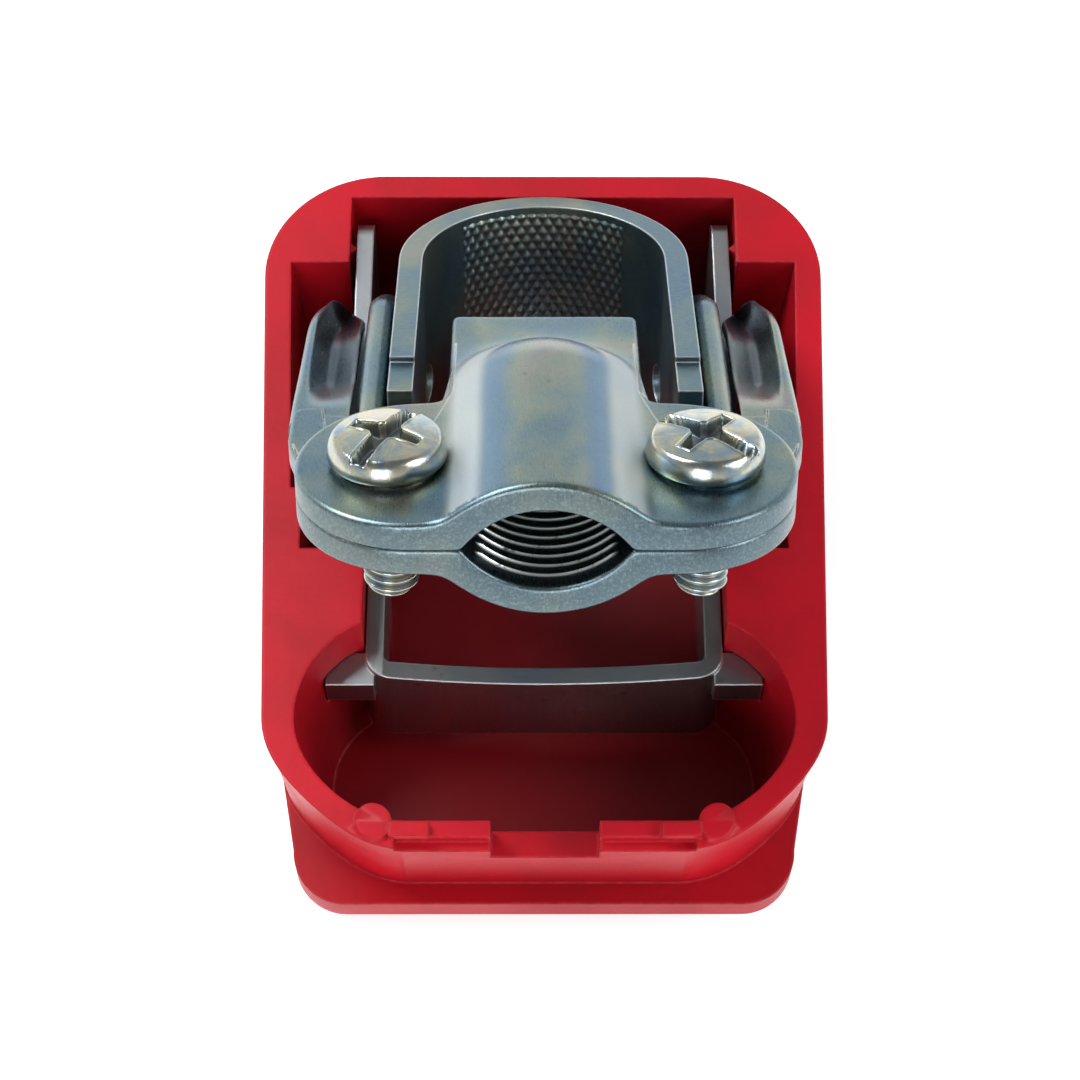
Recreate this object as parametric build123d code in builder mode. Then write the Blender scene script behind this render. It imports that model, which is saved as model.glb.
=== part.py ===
"""Quick-release battery terminal clamp: a moulded lever cover with a steel lever frame and two
eccentric pins, a pressed base plate, a U-shaped post collar, a cable saddle and its two screws.

Frame: X across the clamp, +Y from the lip of the cover towards its hinge end, +Z up out of the
open side of the cover, whose flat outer face lies on Z = 0. The origin is under the middle of the
whole clamp, which stands open.

The cover is drawn on the rim plane, whose local axes are (x, v, depth): v runs from the hinge end
towards the lip and depth runs down into the cover. The base, collar, saddle and screws are drawn
in the clamp frame: its origin is the pin axis, its local +Y runs away from the lip and its +Z
stands square out of the plates. Places along the clamp are given as "reach" from the pins towards
the cable lobes, so a reach r is drawn at local y = -r.
"""
import math
import os

from build123d import *

# ---------------------------------------------------------------- driving dimensions, mm
# cover
cover_height = 16.8
cover_length = 61.7
cover_hinge_half_width = 23.9
cover_lip_half_width = 21.2
cover_hinge_corner = 10.0
cover_lip_corner = 11.0
cover_side_draft = 1.6
cover_hinge_draft = 0.8
cover_lip_draft = 3.2
cover_floor = 2.4
cover_wall = 2.2
cover_base_round = 2.0
lip_reach = 0.4
lip_top_depth = 7.4
lip_thickness = 2.4
lip_half_width = 21.0
lip_overlap = 10.7
lip_corner = 4.5

# cavities of the cover
corner_block_end = 8.9
recess_end = 30.8
recess_draft = 5.0
notch_start = 13.9
notch_end = 36.3
notch_half_width = 19.4
pocket_from_lip_end = 11.0
pocket_radius = 8.7
pocket_half_length = 19.2
pocket_draft = 8.0
cable_notch_width = 8.2
cable_notch_depth = 3.4
rim_step_half_width = 11.3
rim_step_width = 1.0
rim_step_depth = 0.9
ejector_radius = 1.45
ejector_height = 0.15
ejector_half_spacing = 12.9
ejector_from_lip_end = 2.0
pad_length = 3.0
pad_width = 1.2
pad_height = 0.35
pad_half_spacing = 10.2
pad_from_lip_end = 2.5
rib_place = 6.6

# lever frame
frame_sheet = 1.4
frame_half_width = 14.1
strip_from_pocket_centre = 4.9
frame_strip_lean = 0.16
frame_corner = 2.0
frame_top_depth = 3.2
frame_bottom_depth = 11.2
frame_bow = 1.0
cheek_inner = 14.5
cheek_start = 3.2
cheek_end = 29.4
cheek_top_depth = 1.3
cheek_bottom_depth = 12.6
cheek_ramp_start = 24.0
cheek_ramp_end = 28.5
cheek_round = 2.0
joggle_length = 2.0
tab_length = 3.1
tab_width = 2.8
tab_height = 2.8
tab_top_depth = 3.6
tab_from_strip = 0.6

# hinge and eccentric
pin_reach = 17.1
pin_depth = 4.5
pin_radius = 3.0
boss_radius = 1.5
boss_offset = 1.45
open_angle = 29.0

# plates
sheet = 2.0
plate_top = 11.3
lobe_reach = 33.6
lobe_radius = 8.45
lobe_half_spacing = 9.3
tongue_half_width = 7.2
jaw_gap = 0.3
channel_radius = 7.0
channel_sagitta = 3.2
channel_end_reach = 23.5
channel_fillet = 0.8
ridge_count = 9
ridge_pitch = 1.5
ridge_height = 0.3
ridge_width = 0.7

# ears of the base plate
ear_radius = 4.6
ear_shoulder_reach = 7.0
ear_shoulder_radius = 3.0
ear_end_reach = 19.0
wing_end_reach = 22.0
wing_half_width = 19.0
wing_wall = 1.7
wing_round = 1.6
bridge_shoulder = 3.0
bridge_bend_radius = 12.0

# collar
bore_radius = 9.9
collar_sheet = 1.9
collar_height = 15.9
collar_centre_reach = 1.2
collar_leg_end = 22.4
collar_step = 0.5
collar_step_reach = 18.0
collar_foot_reach = 7.0
collar_foot_rise = 9.0

# screws
screw_radius = 2.0
screw_length = 10.4
screw_outset = 1.9
head_radius = 4.25
seat_radius = 3.8
seat_height = 0.45
head_height = 2.7
head_round = 1.1
recess_width = 1.0
recess_turn = 30.0
recess_depth = 1.3
slot_length = 7.2
cross_length = 4.6

# clearances
running_gap = 0.05
press_gap = 0.01
side_gap = 0.3
slot_play = 0.2
hole_gap = 0.15

# ---------------------------------------------------------------- derived places
cut_over = 1.0
floor_depth = cover_height - cover_floor
screw_half_spacing = lobe_half_spacing + screw_outset
lip_start = cover_length - lip_overlap
pocket_centre = cover_length - pocket_from_lip_end
ejector_place = cover_length - ejector_from_lip_end
pad_place = cover_length - pad_from_lip_end
frame_strip_reach = pocket_centre - strip_from_pocket_centre
tab_place = frame_strip_reach - tab_from_strip
bridge_bend_reach = wing_end_reach + bridge_shoulder
frame_inner = frame_half_width - frame_sheet
cheek_outer = cheek_inner + frame_sheet
bay_half_width = cheek_outer + 0.5
collar_outer = bore_radius + collar_sheet
lower_top = plate_top - sheet
lower_under = lower_top - sheet
collar_bottom = plate_top - collar_height
ear_inner = collar_outer + side_gap
ear_outer = cheek_inner - side_gap
wing_inner = cheek_outer + side_gap
front_reach = lobe_reach + lobe_radius
jaw_reach = collar_centre_reach + bore_radius + jaw_gap
half_swing = math.radians(open_angle / 2)
collar_travel = 2 * boss_offset * math.sin(half_swing)
collar_slot_reach = collar_leg_end + collar_travel + side_gap
arch_axis = lower_top - channel_radius + channel_sagitta
arch_outer = channel_radius + sheet
arch_foot = math.sqrt(arch_outer**2 - (plate_top - arch_axis) ** 2)
channel_foot = math.sqrt(channel_radius**2 - (lower_top - arch_axis) ** 2)
blank_half_width = lobe_half_spacing + lobe_radius + cut_over

hinge_end = (cover_length + lip_reach) / 2
rim = Plane(origin=(0, hinge_end, cover_height), x_dir=(1, 0, 0), z_dir=(0, 0, -1))
tilt = math.radians(open_angle)
clamp = Plane(
    origin=(0, hinge_end - pin_reach, cover_height - pin_depth),
    x_dir=(1, 0, 0),
    z_dir=(0, math.sin(tilt), math.cos(tilt)),
)


def clamp_level(z):
    """The plate plane of the clamp at height z above the pin axis."""
    return clamp.offset(z)


def clamp_side(x):
    """The side plane of the clamp at x: its local axes are (reach, z)."""
    return Plane(
        origin=clamp.from_local_coords((x, 0, 0)),
        x_dir=-clamp.y_dir,
        z_dir=-clamp.x_dir,
    )


def clamp_section(reach):
    """The cross section of the clamp at a reach: its local axes are (x, z)."""
    return Plane(
        origin=clamp.from_local_coords((0, -reach, 0)),
        x_dir=clamp.x_dir,
        z_dir=-clamp.y_dir,
    )


def cover_outline(side_inset, hinge_inset, lip_inset):
    """The tapered, round-cornered outline of the cover, in (x, v), moved inwards by the insets."""
    hinge_half = cover_hinge_half_width - side_inset
    lip_half = cover_lip_half_width - side_inset
    with BuildSketch() as outline:
        with BuildLine():
            Polyline(
                (-hinge_half, hinge_inset),
                (hinge_half, hinge_inset),
                (lip_half, cover_length - lip_inset),
                (-lip_half, cover_length - lip_inset),
                close=True,
            )
        make_face()
        fillet(outline.vertices().sort_by(Axis.Y)[:2], cover_hinge_corner - side_inset)
        fillet(outline.vertices().sort_by(Axis.Y)[-2:], cover_lip_corner - side_inset)
    return outline.sketch


def rim_half_width(v):
    """Half the width of the cover's rim at v."""
    return cover_hinge_half_width - (cover_hinge_half_width - cover_lip_half_width) * v / cover_length


def both_sides(x, v):
    """A place on the rim plane and its mirror image."""
    return [(x, v), (-x, v)]


def span(start, end):
    """The middle and the length of a stretch."""
    return (start + end) / 2, end - start


# ---------------------------------------------------------------- cover
with BuildPart() as cover:
    with BuildSketch(rim):
        add(cover_outline(0, 0, 0))
    with BuildSketch(rim.offset(cover_height)):
        add(cover_outline(cover_side_draft, cover_hinge_draft, cover_lip_draft))
    loft(ruled=True)
    fillet(cover.faces().sort_by(Axis.Z)[0].edges(), cover_base_round)

    lip_middle, lip_length = span(lip_start, cover_length + lip_reach)
    with BuildSketch(rim.offset(lip_top_depth)) as lip_plan:
        with Locations((0, lip_middle)):
            Rectangle(2 * lip_half_width, lip_length)
        fillet(lip_plan.vertices().sort_by(Axis.Y)[-2:], lip_corner)
    extrude(amount=lip_thickness)

    bay_middle, bay_length = span(cover_wall, recess_end)
    with BuildSketch(rim):
        with Locations((0, bay_middle)):
            Rectangle(2 * bay_half_width, bay_length)
        notch_middle, notch_length = span(notch_start, notch_end)
        with Locations((0, notch_middle)):
            Rectangle(2 * notch_half_width, notch_length)
        channel_middle, channel_length = span(recess_end, pocket_centre)
        with Locations((0, channel_middle)):
            Rectangle(2 * (frame_half_width + hole_gap), channel_length)
    extrude(amount=floor_depth, mode=Mode.SUBTRACT)

    with BuildSketch(rim):
        with BuildLine():
            Polyline(
                (-rim_half_width(corner_block_end) + cover_wall, corner_block_end),
                (rim_half_width(corner_block_end) - cover_wall, corner_block_end),
                (rim_half_width(recess_end) - cover_wall, recess_end),
                (-rim_half_width(recess_end) + cover_wall, recess_end),
                close=True,
            )
        make_face()
    extrude(amount=floor_depth, taper=recess_draft, mode=Mode.SUBTRACT)

    with BuildSketch(rim):
        with Locations((0, pocket_centre)):
            SlotOverall(2 * pocket_half_length, 2 * pocket_radius)
    extrude(amount=floor_depth, taper=pocket_draft, mode=Mode.SUBTRACT)

    # cable notch and the stepped rim of the lip wall
    with BuildSketch(rim):
        with Locations((0, cover_length)):
            Rectangle(cable_notch_width, 2 * (cover_wall + cable_notch_depth))
    extrude(amount=cable_notch_depth, mode=Mode.SUBTRACT)
    with BuildSketch(rim):
        with Locations((0, cover_length)):
            Rectangle(2 * rim_step_half_width, 2 * rim_step_width)
    extrude(amount=rim_step_depth, mode=Mode.SUBTRACT)

    # ejector marks and pads on the rim
    with BuildSketch(rim):
        with Locations(both_sides(ejector_half_spacing, ejector_place)):
            Circle(ejector_radius)
    extrude(amount=-ejector_height)
    with BuildSketch(rim):
        with Locations(both_sides(pad_half_spacing, pad_place + cover_wall / 2)):
            Rectangle(pad_length, pad_width)
    extrude(amount=-pad_height)

    # seats for the tabs of the lever frame
    tab_middle, tab_span = span(frame_inner, frame_half_width + tab_length + hole_gap)
    with BuildSketch(rim.offset(tab_top_depth - hole_gap)):
        with Locations(both_sides(tab_middle, tab_place)):
            Rectangle(tab_span, tab_width + 2 * hole_gap)
    extrude(amount=tab_height + 2 * hole_gap, mode=Mode.SUBTRACT)

    # crush ribs that hold the cheeks
    with BuildSketch(rim.offset(cheek_top_depth)):
        with Locations(both_sides(bay_half_width, rib_place)):
            RegularPolygon(bay_half_width - cheek_outer, 4)
    extrude(amount=floor_depth - cheek_top_depth)

# ---------------------------------------------------------------- lever frame
with BuildPart() as lever_frame:
    with BuildSketch(rim.offset(cheek_top_depth)) as frame_plan:
        with BuildLine():
            Polyline(
                (cheek_inner, cheek_start),
                (cheek_outer, cheek_start),
                (cheek_outer, cheek_end),
                (frame_half_width, cheek_end + joggle_length),
                (frame_half_width, frame_strip_reach),
                (-frame_half_width, frame_strip_reach),
                (-frame_half_width, cheek_end + joggle_length),
                (-cheek_outer, cheek_end),
                (-cheek_outer, cheek_start),
                (-cheek_inner, cheek_start),
                (-cheek_inner, cheek_end),
                (-frame_inner, cheek_end + joggle_length),
                (-frame_inner, frame_strip_reach - frame_sheet),
                (frame_inner, frame_strip_reach - frame_sheet),
                (frame_inner, cheek_end + joggle_length),
                (cheek_inner, cheek_end),
                close=True,
            )
        make_face()
        fillet(frame_plan.vertices().sort_by(Axis.Y)[-2:], frame_corner)
        inner_corners = frame_plan.vertices().filter_by(
            lambda corner: abs(corner.Y - frame_strip_reach + frame_sheet) < press_gap
            and abs(abs(corner.X) - frame_inner) < press_gap
        )
        fillet(inner_corners, frame_corner - frame_sheet)
    extrude(amount=cheek_bottom_depth, dir=(0, -frame_strip_lean, -1))
    side_view = Plane(origin=rim.origin, x_dir=(0, -1, 0), z_dir=(-1, 0, 0))
    with BuildSketch(side_view) as frame_side:
        with BuildLine():
            Polyline(
                (cheek_start, -cheek_top_depth),
                (cheek_ramp_start, -cheek_top_depth),
                (cheek_ramp_end, -frame_top_depth),
                (cover_length, -frame_top_depth),
                (cover_length, -frame_bottom_depth),
                (cheek_ramp_end, -frame_bottom_depth),
                (cheek_ramp_start, -cheek_bottom_depth),
                (cheek_start, -cheek_bottom_depth),
                close=True,
            )
        make_face()
        fillet(frame_side.vertices().sort_by(Axis.X)[:2], cheek_round)
        with Locations((pin_reach, -pin_depth)):
            Circle(pin_radius + press_gap, mode=Mode.SUBTRACT)
    extrude(amount=cheek_outer + cut_over, both=True, mode=Mode.INTERSECT)

    # the strip's top edge dips towards its middle
    bow_radius = (frame_inner**2 + frame_bow**2) / (2 * frame_bow)
    strip_plane = Plane(
        origin=rim.from_local_coords((0, frame_strip_reach + cover_wall, frame_top_depth)),
        x_dir=(1, 0, 0),
        z_dir=(0, -1, 0),
    )
    with BuildSketch(strip_plane):
        with Locations((0, bow_radius - frame_bow)):
            Circle(bow_radius)
        Rectangle(2 * frame_inner, 2 * frame_bow, mode=Mode.INTERSECT)
    extrude(amount=-2 * cover_wall - frame_sheet, mode=Mode.SUBTRACT)

    # tabs that lock the frame in the cover
    tab_middle, tab_span = span(frame_half_width - frame_sheet / 2, frame_half_width + tab_length)
    with BuildSketch(rim.offset(tab_top_depth)):
        with Locations(both_sides(tab_middle, tab_place)):
            Rectangle(tab_span, tab_width)
    extrude(amount=tab_height)

# ---------------------------------------------------------------- eccentric pins
boss_reach = -boss_offset * math.sin(half_swing)
boss_level = -boss_offset * math.cos(half_swing)
with BuildPart() as pin_right:
    with BuildSketch(clamp_side(wing_half_width)):
        Circle(pin_radius)
    extrude(amount=wing_half_width - ear_inner)
    with BuildSketch(clamp_side(ear_inner)):
        with Locations((boss_reach, boss_level)):
            Circle(boss_radius)
    extrude(amount=ear_inner - bore_radius - press_gap)
    chamfer(pin_right.faces().sort_by(Axis.X)[-1].edges(), side_gap)
with BuildPart() as pin_left:
    add(mirror(pin_right.part, about=Plane.YZ))

# ---------------------------------------------------------------- pressed plates


def arched_blank():
    """Sheet lying on the joint of the two plates, with the upper half of the cable channel in it:
    a straight arched run towards the front and half a dome, made by turning the same section."""
    section = clamp_section(channel_end_reach)
    turn_axis = Axis(section.origin, clamp.z_dir)
    with BuildPart() as blank:
        with BuildSketch(section) as half_section:
            with Locations((blank_half_width / 2, lower_top + sheet / 2)):
                Rectangle(blank_half_width, sheet)
            with Locations((0, arch_axis)):
                Circle(arch_outer)
                Circle(channel_radius, mode=Mode.SUBTRACT)
            with Locations((blank_half_width / 2, lower_top + channel_radius / 2)):
                Rectangle(blank_half_width, channel_radius, mode=Mode.INTERSECT)
            outer_foot = half_section.vertices().sort_by_distance((arch_foot, plate_top))[0]
            fillet(outer_foot, channel_fillet)
            inner_foot = half_section.vertices().sort_by_distance((channel_foot, lower_top))[0]
            fillet(inner_foot, channel_fillet / 2)
        extrude(amount=front_reach - channel_end_reach + cut_over)
        mirror(about=Plane.YZ)
        revolve(half_section.sketch, axis=turn_axis, revolution_arc=180)
    return blank.part


def lobe_plan():
    """Outline of both cable lobes, in the clamp's plate plane."""
    with BuildSketch() as lobes:
        with Locations((0, -lobe_reach)):
            SlotOverall(2 * (lobe_half_spacing + lobe_radius), 2 * lobe_radius)
    return lobes.sketch


def tongue_plan():
    """Outline of a lobe plate with its tongue towards the collar."""
    tongue_middle, tongue_length = span(jaw_reach, lobe_reach)
    with BuildSketch() as plan:
        add(lobe_plan())
        with Locations((0, -tongue_middle)):
            Rectangle(2 * tongue_half_width, tongue_length)
        root = lobe_radius - lobe_reach
        for side in (-1, 1):
            corner = plan.vertices().sort_by_distance((side * tongue_half_width, root))[0]
            fillet(corner, lobe_half_spacing - tongue_half_width - press_gap)
    return plan.sketch


def screw_places():
    """Places of the two screws in the clamp's plate plane."""
    return [(screw_half_spacing, -lobe_reach), (-screw_half_spacing, -lobe_reach)]


upper_blank = arched_blank()
lower_blank = mirror(upper_blank, about=clamp_level(lower_top))

with BuildPart() as saddle:
    add(upper_blank)
    with BuildSketch(clamp_level(lower_top)):
        add(tongue_plan())
    extrude(amount=arch_outer, mode=Mode.INTERSECT)
    with BuildSketch(clamp_level(lower_top)):
        with Locations(screw_places()):
            Circle(screw_radius + hole_gap)
    extrude(amount=sheet, mode=Mode.SUBTRACT)


def ear_side(end_reach, shrink=0):
    """Side view of an ear, in (reach, z): round about the pin, up to the plate, smaller by shrink."""
    with BuildSketch() as ear:
        Circle(ear_radius - shrink)
        with Locations((ear_shoulder_reach, lower_top - ear_shoulder_radius)):
            Circle(ear_shoulder_radius - shrink)
        with Locations((end_reach - shrink, (lower_top + lower_under - shrink) / 2)):
            Rectangle(sheet, sheet - shrink)
        make_hull()
    return ear.sketch


def right_ears():
    """The inner ear, the drawn wing outside the cheek and the bridge that joins both to the lobe."""
    lobe_half_width = lobe_half_spacing + lobe_radius
    with BuildPart() as side:
        with BuildSketch(clamp_side(wing_half_width)):
            add(ear_side(wing_end_reach))
        extrude(amount=wing_half_width - wing_inner)
        with BuildSketch(clamp_level(lower_under)) as bridge:
            with BuildLine():
                Polyline(
                    (arch_foot + sheet, -collar_slot_reach),
                    (wing_inner, -collar_slot_reach),
                    (wing_inner, -wing_end_reach),
                    (wing_half_width, -wing_end_reach),
                    (wing_half_width, -bridge_bend_reach),
                    (lobe_half_width, -lobe_reach),
                    (arch_foot + sheet, -lobe_reach),
                    close=True,
                )
            make_face()
            bend = bridge.vertices().sort_by_distance((wing_half_width, -bridge_bend_reach))[0]
            fillet(bend, bridge_bend_radius)
        extrude(amount=sheet)

        def on_rounded_edge(edge):
            place = clamp.to_local_coords(edge.center())
            on_wing = abs(place.X - wing_half_width) < press_gap and -place.Y < wing_end_reach
            on_bridge = abs(place.Z - lower_top) < press_gap and place.X > lobe_half_width
            on_wing = on_wing and place.Z > -ear_radius / 2 and abs(place.Z - lower_under) > sheet / 2
            return on_wing or on_bridge

        fillet(side.edges().filter_by(on_rounded_edge), wing_round)
        with BuildSketch(clamp_side(wing_half_width - wing_wall)):
            add(ear_side(wing_end_reach, wing_wall))
        extrude(amount=wing_half_width - wing_wall - wing_inner, mode=Mode.SUBTRACT)
        with BuildSketch(clamp_side(ear_outer)):
            add(ear_side(ear_end_reach))
        extrude(amount=ear_outer - ear_inner)
        strip_middle, strip_width = span(ear_inner, ear_outer)
        run_middle, run_length = span(ear_end_reach, lobe_reach)
        with BuildSketch(clamp_level(lower_under)):
            with Locations((strip_middle, -run_middle)):
                Rectangle(strip_width, run_length)
        extrude(amount=sheet)
    return side.part


def channel_ridges():
    """Low ridges across the cable channel of the base plate, each an arc about the channel's axis."""
    first_ridge = front_reach - ridge_pitch * (ridge_count + ridge_width)
    ridge_section = Plane(
        origin=clamp.from_local_coords((0, -first_ridge, 2 * lower_top - arch_axis)),
        x_dir=-clamp.y_dir,
        z_dir=-clamp.x_dir,
    )
    with BuildPart() as ridges:
        with BuildSketch(ridge_section):
            for ridge in range(ridge_count):
                with BuildLine():
                    Polyline(
                        (ridge * ridge_pitch, -channel_radius - sheet / 2),
                        (ridge * ridge_pitch, -channel_radius),
                        ((ridge + ridge_width / 2) * ridge_pitch, -channel_radius + ridge_height),
                        ((ridge + ridge_width) * ridge_pitch, -channel_radius),
                        ((ridge + ridge_width) * ridge_pitch, -channel_radius - sheet / 2),
                        close=True,
                    )
                make_face()
        revolve(axis=Axis(ridge_section.origin, -clamp.y_dir))
        with BuildSketch(clamp_level(lower_top - ridge_height)):
            with Locations((0, -front_reach)):
                Rectangle(2 * front_reach, 2 * front_reach)
        extrude(amount=front_reach, mode=Mode.SUBTRACT)
    return ridges.part


ears = right_ears()

with BuildPart() as base_plate:
    add(lower_blank)
    with BuildSketch(clamp_level(lower_top)):
        add(tongue_plan())
        neck_middle, neck_length = span(collar_slot_reach, lobe_reach)
        with Locations((0, -neck_middle)):
            Rectangle(2 * ear_outer, neck_length)
    extrude(amount=-arch_outer, mode=Mode.INTERSECT)
    add(ears)
    add(mirror(ears, about=Plane.YZ))

    # jaw turned down from the tongue
    jaw_middle, jaw_length = span(jaw_reach, jaw_reach + sheet)
    with BuildSketch(clamp_level(collar_bottom)):
        with Locations((0, -jaw_middle)):
            Rectangle(2 * tongue_half_width, jaw_length)
    extrude(amount=lower_top - collar_bottom)

    add(channel_ridges())
    with BuildSketch(clamp_level(lower_top)):
        with Locations(screw_places()):
            Circle(screw_radius + running_gap)
    extrude(amount=-sheet, mode=Mode.SUBTRACT)
    with BuildSketch(clamp_side(0)):
        Circle(pin_radius + running_gap)
    extrude(amount=wing_half_width + cut_over, both=True, mode=Mode.SUBTRACT)

# ---------------------------------------------------------------- collar
with BuildPart() as collar:
    leg_middle, leg_length = span(collar_centre_reach, collar_leg_end)
    with BuildSketch(clamp_level(collar_bottom)):
        with Locations((0, -collar_centre_reach)):
            Circle(collar_outer)
        with Locations((0, -leg_middle)):
            Rectangle(2 * collar_outer, leg_length)
        with Locations((0, -collar_centre_reach)):
            Circle(bore_radius, mode=Mode.SUBTRACT)
        with Locations((0, -leg_middle)):
            Rectangle(2 * bore_radius, leg_length, mode=Mode.SUBTRACT)
    extrude(amount=collar_height)
    with BuildSketch(clamp_side(0)):
        with BuildLine():
            Polyline(
                (collar_foot_reach, collar_bottom),
                (collar_leg_end, collar_bottom + collar_foot_rise),
                (collar_leg_end, collar_bottom),
                close=True,
            )
        make_face()
        step_middle, step_length = span(collar_step_reach, collar_leg_end)
        with Locations((step_middle, plate_top)):
            Rectangle(step_length, 2 * collar_step)
    extrude(amount=collar_outer + cut_over, both=True, mode=Mode.SUBTRACT)
    hole_radius = boss_radius + running_gap
    with BuildSketch(clamp_side(0)):
        with Locations((boss_reach, boss_level)):
            SlotOverall(2 * (hole_radius + slot_play), 2 * hole_radius, rotation=90)
    extrude(amount=collar_outer + cut_over, both=True, mode=Mode.SUBTRACT)

# ---------------------------------------------------------------- screws


def clamp_screw(place):
    """Pan-head screw with a combined slot and cross recess, at a place on the plates."""
    with BuildPart() as screw:
        with BuildSketch(clamp_level(plate_top)):
            with Locations(place):
                Circle(seat_radius)
        extrude(amount=seat_height)
        with BuildSketch(clamp_level(plate_top + seat_height)):
            with Locations(place):
                Circle(head_radius)
        extrude(amount=head_height - seat_height)
        rims = screw.edges().filter_by(GeomType.CIRCLE).sort_by(Axis(clamp.origin, clamp.z_dir))
        fillet(rims[-1], head_round)
        with BuildSketch(clamp_level(plate_top)):
            with Locations(place):
                Circle(screw_radius)
        extrude(amount=-screw_length)
        rims = screw.edges().filter_by(GeomType.CIRCLE).sort_by(Axis(clamp.origin, clamp.z_dir))
        chamfer(rims[0], side_gap)
        with BuildSketch(clamp_level(plate_top + head_height)):
            with Locations(place):
                Rectangle(recess_width, slot_length, rotation=recess_turn)
                Rectangle(cross_length, recess_width, rotation=recess_turn)
        extrude(amount=-recess_depth, mode=Mode.SUBTRACT)
    return screw.part


with BuildPart() as screw_right:
    add(clamp_screw(screw_places()[0]))
with BuildPart() as screw_left:
    add(clamp_screw(screw_places()[1]))

# ---------------------------------------------------------------- output
os.makedirs("parts", exist_ok=True)
cover.part.label = "cover"
export_step(cover.part, "parts/cover.step")
lever_frame.part.label = "lever_frame"
export_step(lever_frame.part, "parts/lever_frame.step")
pin_left.part.label = "pin_left"
export_step(pin_left.part, "parts/pin_left.step")
pin_right.part.label = "pin_right"
export_step(pin_right.part, "parts/pin_right.step")
base_plate.part.label = "base_plate"
export_step(base_plate.part, "parts/base_plate.step")
collar.part.label = "collar"
export_step(collar.part, "parts/collar.step")
saddle.part.label = "saddle"
export_step(saddle.part, "parts/saddle.step")
screw_left.part.label = "screw_left"
export_step(screw_left.part, "parts/screw_left.step")
screw_right.part.label = "screw_right"
export_step(screw_right.part, "parts/screw_right.step")
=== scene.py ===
"""Dresses the quick-release battery clamp: moulded lever cover, steel frame, collar, plates and screws."""

import logging
import math
from dataclasses import dataclass, field
from enum import Enum
from typing import Iterable, Sequence

import bmesh
import bpy
import numpy as np
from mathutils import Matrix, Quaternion, Vector

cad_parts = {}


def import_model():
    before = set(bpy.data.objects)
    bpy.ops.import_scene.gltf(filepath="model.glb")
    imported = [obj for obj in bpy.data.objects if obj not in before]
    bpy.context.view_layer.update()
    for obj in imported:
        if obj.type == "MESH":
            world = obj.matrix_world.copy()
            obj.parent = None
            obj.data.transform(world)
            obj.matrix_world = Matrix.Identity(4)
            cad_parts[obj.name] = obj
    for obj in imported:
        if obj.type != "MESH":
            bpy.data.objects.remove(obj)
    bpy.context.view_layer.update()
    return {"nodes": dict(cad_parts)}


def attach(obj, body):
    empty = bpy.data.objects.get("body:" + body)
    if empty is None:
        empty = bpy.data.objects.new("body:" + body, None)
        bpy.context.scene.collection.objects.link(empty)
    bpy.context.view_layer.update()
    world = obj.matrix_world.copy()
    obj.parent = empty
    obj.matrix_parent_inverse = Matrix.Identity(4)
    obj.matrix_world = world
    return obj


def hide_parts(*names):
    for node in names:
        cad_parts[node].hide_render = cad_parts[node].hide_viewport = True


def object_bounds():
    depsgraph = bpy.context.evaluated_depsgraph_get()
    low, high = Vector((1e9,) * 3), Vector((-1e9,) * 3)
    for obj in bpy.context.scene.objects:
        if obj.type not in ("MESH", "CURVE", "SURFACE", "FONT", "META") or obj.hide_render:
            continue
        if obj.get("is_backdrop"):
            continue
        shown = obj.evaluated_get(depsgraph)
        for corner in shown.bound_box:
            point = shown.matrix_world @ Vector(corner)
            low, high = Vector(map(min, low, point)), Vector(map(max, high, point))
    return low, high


Socket, Material, Piece = bpy.types.NodeSocket, bpy.types.Material, bpy.types.Object
Array, Colour = np.ndarray, Sequence[float]

log = logging.getLogger("battery_clamp")

MM = 0.001
WHOLE_TURN, QUARTER = 2 * math.pi, math.pi / 2

# middle of a plate's lobe across and along the clamp, and its radius, in millimetres
LOBE_ACROSS, LOBE_REACH, LOBE_RADIUS = 9.3, 33.6, 8.45

# how far a sum of equal waves swings beside the square root of their number
WAVE_SWING = 1.6


# ---- places shared with the solid model
@dataclass(frozen=True)
class ClampFrame:
    """The frame of the tilted clamp: x across, reach away from the pins, z along the plates' normal.

    All lengths are in millimetres, and results are in metres in the frame of the solid model.
    """

    pin_y: float = 13.95
    pin_z: float = 12.3
    tilt: float = math.radians(29.0)

    def to_row(self, x: Array, reach: Array, z: Array) -> Array:
        """Turns clamp places into places of the whole part, by a turn about the pins' axis.

        Args:
            x: Distance across the clamp, in millimetres.
            reach: Distance from the pin axis towards the cable, in millimetres.
            z: Height along the plates' normal, in millimetres.

        Returns:
            An array of shape (..., 3), in metres.
        """
        x, reach, z = np.broadcast_arrays(*(np.asarray(v, dtype=float) for v in (x, reach, z)))
        y_row = self.pin_y - reach * math.cos(self.tilt) + z * math.sin(self.tilt)
        z_row = self.pin_z + reach * math.sin(self.tilt) + z * math.cos(self.tilt)
        return np.stack((x, y_row, z_row), axis=-1) * MM


CLAMP = ClampFrame()


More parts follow.
